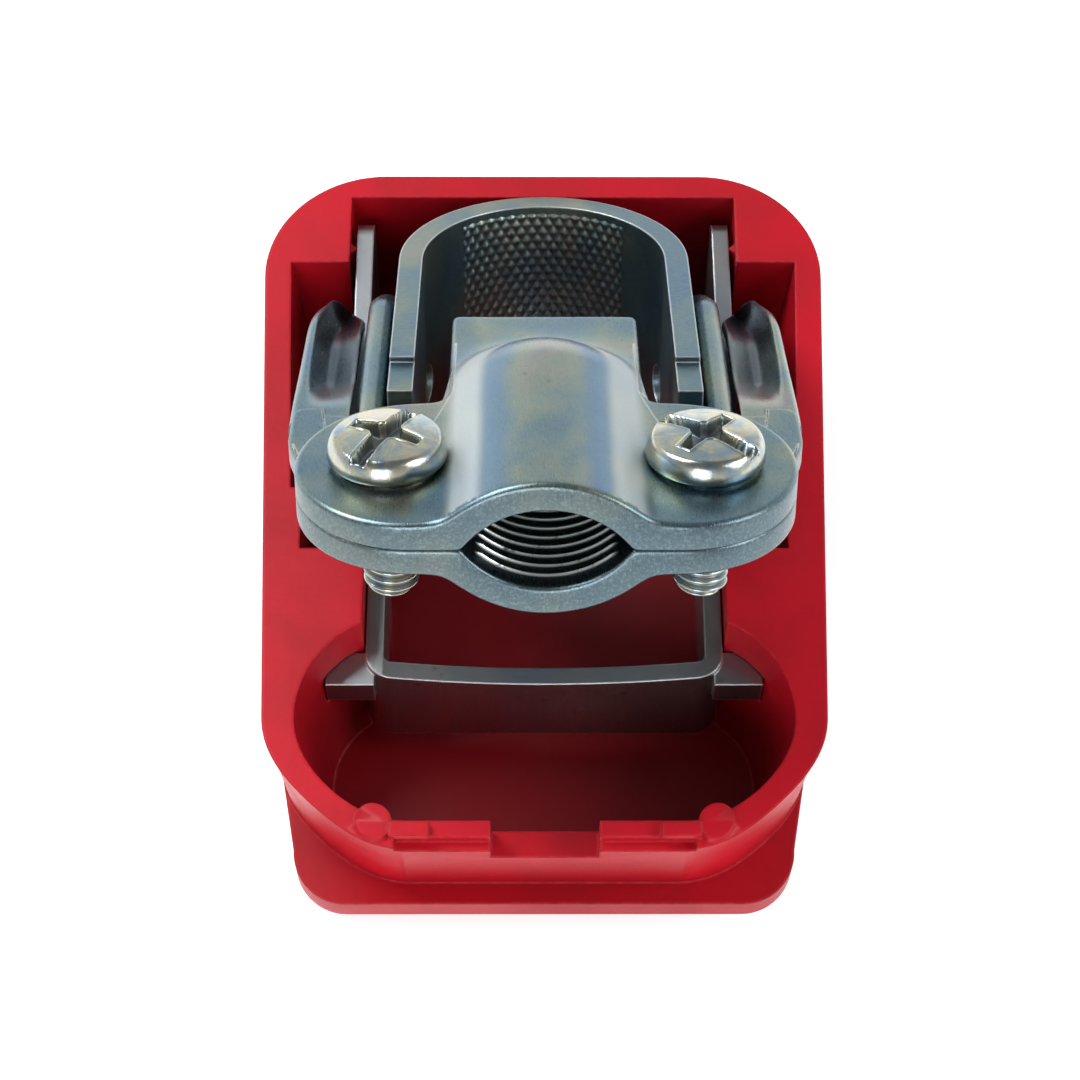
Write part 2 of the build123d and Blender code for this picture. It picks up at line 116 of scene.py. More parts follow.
# ---- shader maths
class Signal:
    """A number on a shader socket. Python arithmetic on it adds the Math nodes."""

    def __init__(self, tree: bpy.types.NodeTree, socket: Socket) -> None:
        """Wraps a socket of a node tree."""
        self.tree = tree
        self.socket = socket

    def math(self, operation: str, *others: "Signal | float", swap: bool = False) -> "Signal":
        """Adds one Math node.

        Args:
            operation: The Math node's operation.
            others: The other operands, as signals or plain numbers.
            swap: Whether this signal is the last operand and not the first.

        Returns:
            The node's result.
        """
        made = self.tree.nodes.new("ShaderNodeMath")
        made.operation = operation
        operands = (*others, self) if swap else (self, *others)
        for place, operand in enumerate(operands):
            if isinstance(operand, Signal):
                self.tree.links.new(operand.socket, made.inputs[place])
            else:
                made.inputs[place].default_value = float(operand)
        return Signal(self.tree, made.outputs[0])

    def __add__(self, other: "Signal | float") -> "Signal":
        """Sum."""
        return self.math("ADD", other)

    __radd__ = __add__

    def __sub__(self, other: "Signal | float") -> "Signal":
        """Difference."""
        return self.math("SUBTRACT", other)

    def __rsub__(self, other: "Signal | float") -> "Signal":
        """Difference from a number on the left."""
        return self.math("SUBTRACT", other, swap=True)

    def __mul__(self, other: "Signal | float") -> "Signal":
        """Product."""
        return self.math("MULTIPLY", other)

    __rmul__ = __mul__

    def between(self, low: float, high: float, to_low: float = 0.0, to_high: float = 1.0) -> "Signal":
        """Maps low..high smoothly on to_low..to_high and holds it outside.

        Args:
            low: The value that becomes to_low.
            high: The value that becomes to_high.
            to_low: The result at and below low.
            to_high: The result at and above high.

        Returns:
            The mapped signal.
        """
        made = self.tree.nodes.new("ShaderNodeMapRange")
        made.interpolation_type = "SMOOTHSTEP"
        made.clamp = True
        self.tree.links.new(self.socket, made.inputs["Value"])
        for name, value in (("From Min", low), ("From Max", high), ("To Min", to_low), ("To Max", to_high)):
            made.inputs[name].default_value = value
        return Signal(self.tree, made.outputs["Result"])


class Finish:
    """A procedural material on Object coordinates, with one Principled shader."""

    # places of the colour sockets on a Mix node
    MIX_FIRST, MIX_SECOND, MIX_RESULT = 6, 7, 2

    def __init__(self, name: str) -> None:
        """Starts an empty material of that name."""
        self.material = bpy.data.materials.new(name)
        self.material.use_nodes = True
        self.tree = self.material.node_tree
        self.tree.nodes.clear()
        self.shader = self.node("ShaderNodeBsdfPrincipled")
        output = self.node("ShaderNodeOutputMaterial")
        self.tree.links.new(self.shader.outputs[0], output.inputs["Surface"])
        self.coordinates = self.node("ShaderNodeTexCoord").outputs["Object"]

    def node(self, kind: str, settings: dict | None = None, inputs: dict | None = None) -> bpy.types.Node:
        """Adds any node.

        Args:
            kind: The node's type.
            settings: Its properties, set first. A ramp's stops are given as "stops": ((place, colour), ...).
            inputs: Values, sockets or signals for its inputs, by name or number.

        Returns:
            The node.
        """
        made = self.tree.nodes.new(kind)
        for key, value in (settings or {}).items():
            if key == "stops":
                self._fill_ramp(made.color_ramp, value)
            else:
                setattr(made, key, value)
        for key, value in (inputs or {}).items():
            self.feed(made.inputs[key], value)
        return made

    @staticmethod
    def _fill_ramp(ramp: bpy.types.ColorRamp, stops: Sequence[tuple[float, Colour]]) -> None:
        """Sets a ramp's stops.

        Args:
            ramp: The ramp.
            stops: Its stops as (place, colour).
        """
        while len(ramp.elements) < len(stops):
            ramp.elements.new(1.0)
        for element, (place, colour) in zip(ramp.elements, stops):
            element.position = place
            element.color = (*colour, 1.0)

    def feed(self, target: Socket, value: object) -> None:
        """Links a socket or signal to a target socket, or sets its value.

        Args:
            target: The socket that is fed.
            value: A signal, a socket, a colour or a plain value.
        """
        if isinstance(value, Signal):
            self.tree.links.new(value.socket, target)
        elif isinstance(value, Socket):
            self.tree.links.new(value, target)
        elif isinstance(value, (tuple, list)) and target.type == "RGBA":
            target.default_value = (*value, 1.0)
        else:
            target.default_value = value

    def principled(self, **inputs: object) -> None:
        """Sets or links inputs of the Principled shader; underscores stand for spaces."""
        for key, value in inputs.items():
            self.feed(self.shader.inputs[key.replace("_", " ")], value)

    def stretched(self, scale: Sequence[float]) -> Socket:
        """Object coordinates, stretched by a factor along each axis."""
        inputs = {"Vector": self.coordinates, "Scale": scale}
        return self.node("ShaderNodeMapping", {"vector_type": "TEXTURE"}, inputs).outputs[0]

    def noise(self, size: float, detail: float = 3.0, roughness: float = 0.55, distortion: float = 0.0,
              where: Socket | None = None) -> Signal:
        """Cloudy noise from 0 to 1.

        Args:
            size: Size of its main features, in millimetres.
            detail: Number of finer octaves.
            roughness: Share of the finer octaves.
            distortion: How far it is folded.
            where: The vector that it reads, or None for Object coordinates.

        Returns:
            The noise.
        """
        made = self.node("ShaderNodeTexNoise", None, {
            "Vector": where or self.coordinates, "Scale": 1 / (size * MM), "Detail": detail,
            "Roughness": roughness, "Distortion": distortion})
        return Signal(self.tree, made.outputs[0])

    def cells(self, size: float) -> Signal:
        """Distance to the nearest of scattered points, as a share of their spacing in millimetres."""
        made = self.node("ShaderNodeTexVoronoi", None, {"Vector": self.coordinates, "Scale": 1 / (size * MM)})
        return Signal(self.tree, made.outputs["Distance"])

    def attribute(self, name: str) -> Signal:
        """A number that the mesh carries at its points, by name."""
        made = self.node("ShaderNodeAttribute", {"attribute_name": name, "attribute_type": "GEOMETRY"})
        return Signal(self.tree, made.outputs["Fac"])

    def blend(self, share: Signal | float, first: object, second: object) -> Socket:
        """Mixes two colours or colour sockets by the share of the second, 0 to 1."""
        inputs = {"Factor": share, self.MIX_FIRST: first, self.MIX_SECOND: second}
        return self.node("ShaderNodeMix", {"data_type": "RGBA"}, inputs).outputs[self.MIX_RESULT]

    def layered(self, body: object, *layers: tuple) -> Socket:
        """Lays colours over a body colour.

        Args:
            body: The body colour, or its socket.
            layers: What is laid over it in turn, each as (share, colour).

        Returns:
            The last colour's socket.
        """
        for share, colour in layers:
            body = self.blend(share, body, colour)
        return body

    def ramp(self, value: Signal, stops: Sequence[tuple[float, Colour]]) -> Socket:
        """A colour from a number, by stops of (place, colour)."""
        return self.node("ShaderNodeValToRGB", {"stops": stops}, {0: value}).outputs[0]

    def relief(self, height: Signal, depth: float, under: Socket | None = None,
               strength: float = 1.0) -> Socket:
        """A bumped normal.

        Args:
            height: The height, 0 to 1.
            depth: The height in millimetres that 1 stands for.
            under: A normal that it starts from.
            strength: How much of it is used.

        Returns:
            The normal's socket.
        """
        inputs = {"Height": height, "Distance": depth * MM, "Strength": strength}
        made = self.node("ShaderNodeBump", None, inputs)
        if under is not None:
            self.feed(made.inputs["Normal"], under)
        return made.outputs[0]

    def metal(self, colour: Socket, roughness: Signal, normal: Socket) -> Material:
        """Ends a bare metal with its colour, roughness and normal."""
        self.principled(Base_Color=colour, Metallic=1.0, Roughness=roughness, Normal=normal)
        return self.material

    def rounded_edges(self, radius: float) -> Socket:
        """The normal with every sharp edge softened over a radius in millimetres."""
        return self.node("ShaderNodeBevel", {"samples": 6}, {"Radius": radius * MM}).outputs[0]

    def edge_share(self, rounded: Socket, reach: float = 0.06) -> Signal:
        """How much a place belongs to an edge, 0 to 1, from the turn of the softened normal.

        Args:
            rounded: The softened normal.
            reach: The turn, as 1 minus a cosine, that counts as fully on the edge.

        Returns:
            The share.
        """
        true_normal = self.node("ShaderNodeNewGeometry").outputs["Normal"]
        dot = self.node("ShaderNodeVectorMath", {"operation": "DOT_PRODUCT"}, {0: rounded, 1: true_normal})
        return (1 - Signal(self.tree, dot.outputs["Value"])).between(0.002, reach)


# ---- finishes
@dataclass(frozen=True)
class MouldedPlastic:
    """Glossy pigmented moulding with faint orange peel, flow marks and rubbed edges, and painted shade in the
    hollows and on top of the lip.
    """

    name: str = "moulded_red"
    colour: Colour = (0.50, 0.005, 0.016)
    deep: Colour = (0.40, 0.004, 0.012)
    shaded: Colour = (0.165, 0.0010, 0.004)
    rubbed: Colour = (0.56, 0.030, 0.042)
    roughness: float = 0.36

    def make(self) -> Material:
        """Builds the material."""
        finish = Finish(self.name)
        rounded = finish.rounded_edges(0.32)
        edge = finish.edge_share(rounded)
        cloud = finish.noise(9.0, 4.0, 0.6, 0.4)
        flow = finish.noise(2.4, 3.0, 0.55, 1.2, finish.stretched((1.0, 0.3, 1.0)))
        dust = finish.noise(0.22, 2.0)
        body = finish.layered(
            self.colour, (cloud.between(0.35, 0.70), self.deep),
            # painted shade: darker red deeper in the pocket and the bays, and a set painted shade on top of the
            # lip
            (finish.attribute("depth") * 0.85, self.shaded),
            (edge * finish.noise(0.8, 3.0).between(0.35, 0.65) * 0.55, self.rubbed),
            (dust.between(0.66, 0.78) * 0.18, self.rubbed))
        peel = finish.noise(0.55, 2.0) * 0.5 + flow * 0.8 + finish.noise(0.12, 1.0) * 0.12
        rough = self.roughness + cloud.between(0.3, 0.7) * 0.10 + edge * 0.10 + dust.between(0.5, 0.8) * 0.08
        finish.principled(
            Base_Color=body, Roughness=rough, IOR=1.48, Specular_IOR_Level=0.27,
            Normal=finish.relief(peel, 0.030, rounded, 0.55))
        return finish.material


class Tint(Enum):
    """How strongly the passivated zinc shows its film colours."""

    FAINT = 0.25
    CLEAR = 0.46


@dataclass(frozen=True)
class ZincSheet:
    """Zinc plated sheet: rolled faces, film colours from blue to straw, torn lighter patches on the sheared
    wall, painted shade on that wall and in the wings' hollows, a painted blue reflection on the flanks, and
    painted highlights on the bends and edges.
    """

    name: str
    tint: Tint = Tint.CLEAR
    grey: Colour = (0.135, 0.195, 0.225)
    roughness: float = 0.27
    edge_radius: float = 0.22
    rolling: Sequence[float] = (0.15, 1.0, 1.0)

    def make(self) -> Material:
        """Builds the material."""
        finish = Finish(self.name)
        rounded = finish.rounded_edges(self.edge_radius)
        edge = finish.edge_share(rounded)
        film = finish.noise(7.0, 2.0, 0.5, 0.3, finish.stretched((1.0, 1.5, 1.5)))
        fine = finish.noise(1.1, 4.0, 0.6, 0.6)
        rolled = finish.noise(0.5, 4.0, 0.6, 0.0, finish.stretched(self.rolling))
        grains = finish.noise(0.10, 2.0, 0.6)
        spots = finish.cells(1.7)
        tinted = finish.ramp(film * 0.9 + fine * 0.1, (
            (0.24, (0.05, 0.13, 0.34)), (0.38, (0.08, 0.18, 0.26)), (0.47, (0.14, 0.23, 0.24)),
            (0.56, (0.30, 0.33, 0.20)), (0.63, (0.40, 0.35, 0.25)), (0.74, (0.20, 0.20, 0.33))))
        rim, bend_highlight = finish.attribute("rim"), finish.attribute("bend_highlight")
        torn = finish.noise(0.22, 3.0, 0.6)
        body = finish.layered(
            self.grey, (self.tint.value, tinted),
            (rolled.between(0.40, 0.70) * 0.25, (0.34, 0.41, 0.44)),
            (spots.between(0.30, 0.0) * fine.between(0.5, 0.62) * 0.5, (0.10, 0.10, 0.12)),
            # painted reflection: a blue band on the flanks of the pressing, patchy with the film's noise
            (finish.attribute("flank_reflection") * film.between(0.30, 0.60) * 0.60, (0.045, 0.155, 0.330)),
            # painted shade: near black in the hollow of each wing
            (finish.attribute("sunk") * 0.80, (0.020, 0.036, 0.060)),
            # painted highlight: a pale band on the bends of the pressing
            (bend_highlight * (grains * 0.5 + 0.5) * 0.85, (0.62, 0.67, 0.69)),
            # painted shade: darker on the sheared wall of the plates
            (rim * 0.70, (0.085, 0.118, 0.132)),
            (rim * torn.between(0.45, 0.70) * 0.28, (0.34, 0.39, 0.39)),
            # painted highlight: near white along every sharp edge
            (edge * 0.75, (0.74, 0.77, 0.78)))
        height = rolled * 0.55 + grains * 0.25 + fine * 0.5 + rim * torn * 0.9
        rough = self.roughness + rolled.between(0.3, 0.7) * 0.10 + grains * 0.08 + edge * 0.06 + bend_highlight * 0.26
        return finish.metal(body, rough, finish.relief(height, 0.030, rounded, 0.5))


@dataclass(frozen=True)
class StrawZinc:
    """Yellow passivated zinc of the pins."""

    name: str = "straw_zinc"

    def make(self) -> Material:
        """Builds the material."""
        finish = Finish(self.name)
        rounded = finish.rounded_edges(0.15)
        cloud = finish.noise(1.6, 3.0, 0.6, 1.0)
        body = finish.ramp(cloud, (
            (0.30, (0.66, 0.44, 0.13)), (0.50, (0.72, 0.56, 0.24)), (0.62, (0.56, 0.58, 0.30)),
            (0.75, (0.62, 0.40, 0.34))))
        rough = 0.24 + cloud * 0.15
        return finish.metal(body, rough, finish.relief(finish.noise(0.25, 3.0), 0.02, rounded, 0.5))


@dataclass(frozen=True)
class BrightScrew:
    """Bright plated screw steel, with painted shade in the recess and the thread roots."""

    name: str = "bright_screw"

    def make(self) -> Material:
        """Builds the material; the mesh carries "hollow", 1 down in a recess or root."""
        finish = Finish(self.name)
        hollow = finish.attribute("hollow")
        cloud = finish.noise(1.8, 3.0, 0.6, 0.8)
        fine = finish.noise(0.16, 3.0, 0.6)
        body = finish.ramp(cloud, (
            (0.28, (0.24, 0.33, 0.42)), (0.46, (0.36, 0.42, 0.42)), (0.60, (0.52, 0.50, 0.36)),
            (0.74, (0.44, 0.42, 0.46))))
        # painted shade: darker down in the recess and the thread roots
        body = finish.blend(hollow.between(0.1, 0.9) * 0.65, body, (0.10, 0.10, 0.12))
        rough = 0.15 + fine * 0.14 + hollow * 0.22
        height = fine * 0.6 + finish.noise(0.7, 3.0) * 0.6
        return finish.metal(body, rough, finish.relief(height, 0.025, None, 0.55))


@dataclass(frozen=True)
class RidgedSteel:
    """Steel of the trough, near black, with near white on the crests of its ridges."""

    name: str = "ridged_steel"

    def make(self) -> Material:
        """Builds the material; the mesh carries "crest", 1 on a ridge."""
        finish = Finish(self.name)
        crest = finish.attribute("crest").between(0.25, 0.85)
        cloud = finish.noise(1.2, 3.0, 0.6)
        body = finish.blend(crest * cloud.between(0.25, 0.45), (0.055, 0.065, 0.070), (0.82, 0.85, 0.82))
        rough = 0.30 + cloud * 0.2 - crest * 0.1
        return finish.metal(body, rough, finish.relief(finish.noise(0.2, 3.0), 0.02, None, 0.5))


@dataclass(frozen=True)
class PaleFloor:
    """White floor that the camera sees as paper white, with the part's own soft shadow on it."""

    name: str = "pale_floor"

    def make(self) -> Material:
        """Builds the material: white diffuse, with light added where only eyes and mirrors look."""
        finish = Finish(self.name)
        rays = finish.node("ShaderNodeLightPath").outputs
        seen = Signal(finish.tree, rays["Is Camera Ray"]) + Signal(finish.tree, rays["Is Glossy Ray"])
        seen = (seen + Signal(finish.tree, rays["Is Transmission Ray"])).math("MINIMUM", 1.0)
        finish.principled(
            Base_Color=(0.86, 0.86, 0.86), Roughness=0.9, Specular_IOR_Level=0.0,
            Emission_Color=(1.0, 1.0, 1.0))
        finish.feed(finish.shader.inputs["Emission Strength"], seen * 0.50)
        return finish.material


# ---- surfaces on grids
def grid_faces(rows: int, columns: int, wrap_columns: bool = False) -> Array:
    """Quads of a grid of points numbered row by row.

    Args:
        rows: Number of rows of points.
        columns: Number of points in a row.
        wrap_columns: Whether each row's last point joins its first.

    Returns:
        An array of shape (faces, 4).
    """
    row = np.arange(rows - 1)[:, None]
    column = np.arange(columns if wrap_columns else columns - 1)[None, :]
    next_row, next_column = row + 1, (column + 1) % columns
    corners = (row * columns + column, row * columns + next_column,
               next_row * columns + next_column, next_row * columns + column)
    return np.stack([np.broadcast_to(c, (row.size, column.size)).ravel() for c in corners], axis=-1)


def tube_faces(rows: int, columns: int) -> list[list[int]]:
    """Faces of a tube of closed rows of points, with a lid on its first and on its last row.

    Args:
        rows: Number of rows.
        columns: Number of points in a row.

    Returns:
        The faces as lists of point numbers.
    """
    lids = [list(range(columns)), list(range((rows - 1) * columns, rows * columns))]
    return grid_faces(rows, columns, wrap_columns=True).tolist() + lids


def show(name: str, data: bpy.types.ID) -> Piece:
    """Puts some data into the scene.

    Args:
        name: The object's name.
        data: What it holds, such as a mesh or a lamp.

    Returns:
        The object.
    """
    piece = bpy.data.objects.new(name, data)
    bpy.context.scene.collection.objects.link(piece)
    return piece


def merge_points(mesh: bpy.types.Mesh, distance: float, face_out: bool = False) -> None:
    """Merges the points of a mesh that lie close together.

    Args:
        mesh: The mesh.
        distance: Distance in metres under which points are merged.
        face_out: Whether its faces are turned outwards too.
    """
    work = bmesh.new()
    work.from_mesh(mesh)
    bmesh.ops.remove_doubles(work, verts=work.verts, dist=distance)
    if face_out:
        bmesh.ops.recalc_face_normals(work, faces=work.faces)
    work.to_mesh(mesh)
    work.free()


def mesh_piece(name: str, points: Array, faces: Iterable, numbers: dict[str, Array] | None = None,
               merge: float = 1e-7) -> Piece:
    """Makes an object at the origin from points and faces, merged and with its faces pointing outwards.

    Args:
        name: The piece's name.
        points: Points, shape (n, 3), in metres.
        faces: Faces as lists of point numbers.
        numbers: Values that the points carry, by attribute name.
        merge: Distance in metres under which points are merged.

    Returns:
        The object.
    """
    mesh = bpy.data.meshes.new(name)
    mesh.from_pydata(points.reshape(-1, 3).tolist(), [], [list(map(int, f)) for f in faces])
    for key, values in (numbers or {}).items():
        layer = mesh.attributes.new(key, "FLOAT", "POINT")
        layer.data.foreach_set("value", np.asarray(values, dtype=np.float32).ravel())
    merge_points(mesh, merge, face_out=True)
    mesh.shade_smooth()
    return show(name, mesh)


def smooth_step(value: Array, low: float, high: float) -> Array:
    """Rises smoothly from 0 at low to 1 at high, as t * t * (3 - 2 * t)."""
    share = np.clip((value - low) / (high - low), 0.0, 1.0)
    return share * share * (3.0 - 2.0 * share)


def ripple(u: Array, v: Array, seed: int, waves: int = 14, low: float = 0.6, high: float = 5.0) -> Array:
    """An uneven surface from -1 to 1: a sum of sine waves in random directions, the same on each run.

    Args:
        u: First parameter, in millimetres.
        v: Second parameter, in millimetres.
        seed: Number that fixes the waves.
        waves: Number of waves.
        low: Lowest wave number, in radians per millimetre.
        high: Highest wave number.

    Returns:
        The height at each point.
    """
    random = np.random.default_rng(seed)
    angle = random.uniform(0, WHOLE_TURN, waves)
    number = random.uniform(low, high, waves)
    phase = random.uniform(0, WHOLE_TURN, waves)
    u, v = np.asarray(u)[..., None], np.asarray(v)[..., None]
    parts = np.sin(number * (u * np.cos(angle) + v * np.sin(angle)) + phase)
    return parts.sum(axis=-1) / math.sqrt(waves) / WAVE_SWING


def outward(outline: Array) -> Array:
    """Unit normals that point out of a closed outline.

    The direction at a point runs from the one before it to the one after it, and is turned by a quarter. The
    sign of the area, the sum of x * y' - x' * y over the sides, says which way is out.

    Args:
        outline: Points, shape (n, 2), that close on themselves.

    Returns:
        The normals, shape (n, 2).
    """
    ahead = np.roll(outline, -1, axis=0)
    along = ahead - np.roll(outline, 1, axis=0)
    along /= np.maximum(np.linalg.norm(along, axis=1, keepdims=True), 1e-9)
    out = np.stack((along[:, 1], -along[:, 0]), axis=1)
    area = np.sum(outline[:, 0] * ahead[:, 1] - ahead[:, 0] * outline[:, 1])
    return out if area > 0 else -out


def backed(radius: Array, place: Array, behind: float) -> tuple[Array, Array]:
    """Closes a curved patch by two columns behind it, over the ends of its rows.

    Args:
        radius: Radius of each point of the patch.
        place: Place of each point along its row.
        behind: Radius of the two columns.

    Returns:
        Radius and place with the two columns.
    """
    ends = np.tile([place[0, -1], place[0, 0]], (len(place), 1))
    return (np.concatenate((radius, np.full(ends.shape, behind)), axis=1),
            np.concatenate((place, ends), axis=1))


def coat(piece: Piece, material: Material) -> Piece:
    """Puts one finish on the whole of a piece.

    Args:
        piece: The piece.
        material: Its finish.

    Returns:
        The same piece.
    """
    piece.data.materials.clear()
    piece.data.materials.append(material)
    return piece


def settle(piece: Piece, material: Material, body: str, node: str = "") -> Piece:
    """Gives a piece its finish and says where it belongs.

    Args:
        piece: The piece.
        material: Its finish.
        body: The body that it rides on.
        node: The solid that it stands for, or an empty name.

    Returns:
        The same piece.
    """
    coat(piece, material)
    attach(piece, body)
    if node:
        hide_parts(node)
    return piece


def report(*pieces: Piece) -> None:
    """Logs each piece with its finish."""
    for piece in pieces:
        log.info("%s in %s", piece.name, piece.data.materials[0].name)


# ---- screws
@dataclass
class ClampScrew:
    """Pan-head screw with a burred slot and cross recess and a rolled thread. Lengths in millimetres."""

    side: int
    turn: float
    seed: int
    half_spacing: float = 11.2
    reach: float = 33.6
    seat_level: float = 11.3
    seat_radius: float = 3.8
    seat_height: float = 0.45
    head_radius: float = 4.25
    head_height: float = 2.7
    crown: float = 0.55
    shoulder: float = 0.70
    slot_length: float = 7.9
    slot_width: float = 1.15
    cross_length: float = 5.4
    cross_width: float = 1.45
    slot_depth: float = 1.15
    cross_depth: float = 1.5
    thread_radius: float = 1.995
    thread_depth: float = 0.36
    thread_pitch: float = 0.7
    shank_length: float = 10.35
    slot_fall: float = 0.10
    cross_fall: float = 0.16
    fall_end: float = 0.03
    hub: float = 0.78
    taper: float = 0.35
    floor_rise: float = 0.45
    burr_height: float = 0.11
    burr_width: float = 0.10
    rim_foot: float = 0.35
    rim_tuck: float = 0.25
    uneven: float = 0.012
    point: float = 0.6
    point_draw: float = 0.45
    around: int = 176

    @property
    def name(self) -> str:
        """The screw's name by its side."""
        return "screw_right" if self.side > 0 else "screw_left"

    def recess(self, x: Array, y: Array) -> tuple[Array, Array]:
        """Depth of the recess and height of its burr.

        The distance to each arm is the larger of how far a place lies outside its width and its length.
        The cut falls steeply where that distance is nought, and the burr stands as a bell beside it.

        Args:
            x: Place across the head.
            y: Place along the head.

        Returns:
            The depth, and the burr's height.
        """
        c, s = math.cos(self.turn), math.sin(self.turn)
        u, v = x * c + y * s, y * c - x * s
        slot = np.maximum(abs(v) - self.slot_width / 2, abs(u) - self.slot_length / 2)
        reach = np.hypot(u, v)
        arm = self.cross_width * (1.0 - self.taper * np.clip(reach / (self.cross_length / 2), 0, 1)) / 2
        along = np.maximum(abs(v) - arm, abs(u) - self.cross_length / 2)
        across = np.maximum(abs(u) - arm, abs(v) - self.cross_length / 2)
        cross = np.minimum(along, across)
        rounded = reach - self.cross_width * self.hub
        cut_slot = 1.0 - smooth_step(slot, -self.slot_fall, self.fall_end)
        cut_cross = 1.0 - smooth_step(np.minimum(cross, rounded), -self.cross_fall, self.fall_end)
        floor = self.cross_depth * cut_cross * (1.0 - self.floor_rise * reach / (self.cross_length / 2))
        depth = np.maximum(self.slot_depth * cut_slot, floor)
        nearest = np.minimum(slot, np.minimum(cross, rounded))
        ragged = 0.5 + 0.5 * ripple(x, y, self.seed, 12, 1.0, 6.0)
        bell = np.exp(-(((nearest - self.burr_width) / self.burr_width) ** 2))
        return depth, self.burr_height * np.clip(ragged, 0, 1.4) * bell

    def build(self) -> Piece:
        """Makes the screw by turning its profile about its axis.

        The top rows follow a low crown less the recess, the rim is a quarter ellipse, and the shank's
        radius falls into a rounded V along a helix: the groove at height z and angle a is where the
        fraction of z / pitch + a / whole turn is near a half.

        Returns:
            The screw's object.
        """
        angle = np.linspace(0, WHOLE_TURN, self.around, endpoint=False)
        flat = self.head_radius - self.shoulder
        top = self.head_height
        edge_top = top - self.crown * (flat / self.head_radius) ** 2
        rim_bottom = self.seat_height + self.rim_foot
        crown = np.linspace(0.012, flat, 62)
        rim, under = np.linspace(0, QUARTER, 11)[1:], np.linspace(0, QUARTER, 5)[1:]
        shank = np.linspace(-0.02, -self.shank_length, 172)
        profile = (
            (crown, top - self.crown * (crown / self.head_radius) ** 2),
            (flat + self.shoulder * np.sin(rim), rim_bottom + (edge_top - rim_bottom) * np.cos(rim)),
            (self.head_radius - self.rim_tuck * (1 - np.cos(under)),
             rim_bottom - self.rim_foot * np.sin(under)),
            ((self.seat_radius, self.seat_radius, self.seat_radius - 0.1, 2.1),
             (self.seat_height - 0.01, 0.08, 0.0, 0.0)),
            (np.full(shank.size, self.thread_radius), shank),
            ((1.2, 0.6, 0.01), np.full(3, -self.shank_length)))
        head_rows = sum(len(radii) for radii, _ in profile[:4])
        r = np.concatenate([radii for radii, _ in profile])[:, None] * np.ones_like(angle)
        z = np.concatenate([levels for _, levels in profile])[:, None] * np.ones_like(angle)
        hollow = np.zeros_like(r)

        rows = slice(0, crown.size + 4)
        x, y = r[rows] * np.cos(angle), r[rows] * np.sin(angle)
        depth, burr = self.recess(x, y)
        z[rows] += burr - depth + self.uneven * ripple(x, y, self.seed + 1, 12, 0.8, 4.0)
        hollow[rows] = np.clip(depth / self.slot_depth, 0, 1)

        rows = slice(head_rows, head_rows + shank.size)
        place = np.mod(z[rows] / self.thread_pitch + angle / WHOLE_TURN, 1.0)
        groove = 1.0 - smooth_step(abs(place - 0.5), 0.06, 0.44)
        tip = smooth_step(z[rows], -self.shank_length, -self.shank_length + self.point)
        r[rows] = self.thread_radius - self.thread_depth * groove - self.point_draw * (1 - tip)
        hollow[rows] = groove

        x, y = r * np.cos(angle), r * np.sin(angle)
        points = CLAMP.to_row(self.side * self.half_spacing + x, self.reach - y, self.seat_level + z)
        return mesh_piece(self.name + "_turned", points, tube_faces(*r.shape), {"hollow": hollow})

    def dress(self, material: Material) -> Piece:
        """Builds the screw and lets it stand for the solid model's screw."""
        return settle(self.build(), material, self.name, self.name)


# ---- collar
@dataclass
class CollarKnurl:
    """The diamond knurl rolled into the middle of the collar's inner arc. Lengths in millimetres."""

    bore_radius: float = 9.9
    centre_reach: float = 1.2
    half_angle: float = math.radians(44.0)
    top: float = 11.3
    bottom: float = -4.6
    margin: float = 0.45
    pitch: float = 0.92
    height: float = 0.17
    sunk: float = 0.35
    slant: float = 0.62
    fade: float = 0.5
    base: float = 0.03
    tuck: float = 0.05
    columns: int = 260
    rows: int = 200

    def build(self) -> Piece:
        """Makes the knurled patch as a closed shell on the bore.

        With u along the arc, v up the wall and k the slant, V grooves lie at each pitch of u + k * v and of
        u - k * v. The height of a place is the smaller of its two distances from a groove, so each diamond
        is a small pyramid.
        The pattern sinks into the wall at its borders.

        Returns:
            The patch's object.
        """
        angle = np.linspace(-self.half_angle, self.half_angle, self.columns)[:, None]
        level = np.linspace(self.bottom + self.margin, self.top - self.margin, self.rows)[None, :]
        u = angle * self.bore_radius * np.ones_like(level)
        v = level * np.ones_like(angle)
        first = abs(np.mod((u + v * self.slant) / self.pitch, 1.0) - 0.5) * 2
        second = abs(np.mod((u - v * self.slant) / self.pitch, 1.0) - 0.5) * 2
        diamond = np.minimum(smooth_step(first, 0.02, 0.85), smooth_step(second, 0.02, 0.85))
        worn = 0.82 + 0.18 * ripple(u, v, 5)
        border = (smooth_step(self.half_angle - abs(angle), 0.0, 0.05)
                  * smooth_step(level, self.bottom + self.margin, self.bottom + self.margin + self.fade)
                  * smooth_step(-level, self.margin - self.top, self.margin - self.top + self.fade))
        proud = (self.base + self.height * diamond * worn) * border - self.tuck * (1 - border)
        radius, level = backed(self.bore_radius - proud, v, self.bore_radius + self.sunk)
        points = CLAMP.to_row(radius * np.sin(angle), self.centre_reach - radius * np.cos(angle), level)
        return mesh_piece("collar_knurl", points, tube_faces(*level.shape))

    def dress(self, material: Material) -> Piece:
        """Builds the patch and fixes it to the collar."""
        return settle(self.build(), material, "collar")


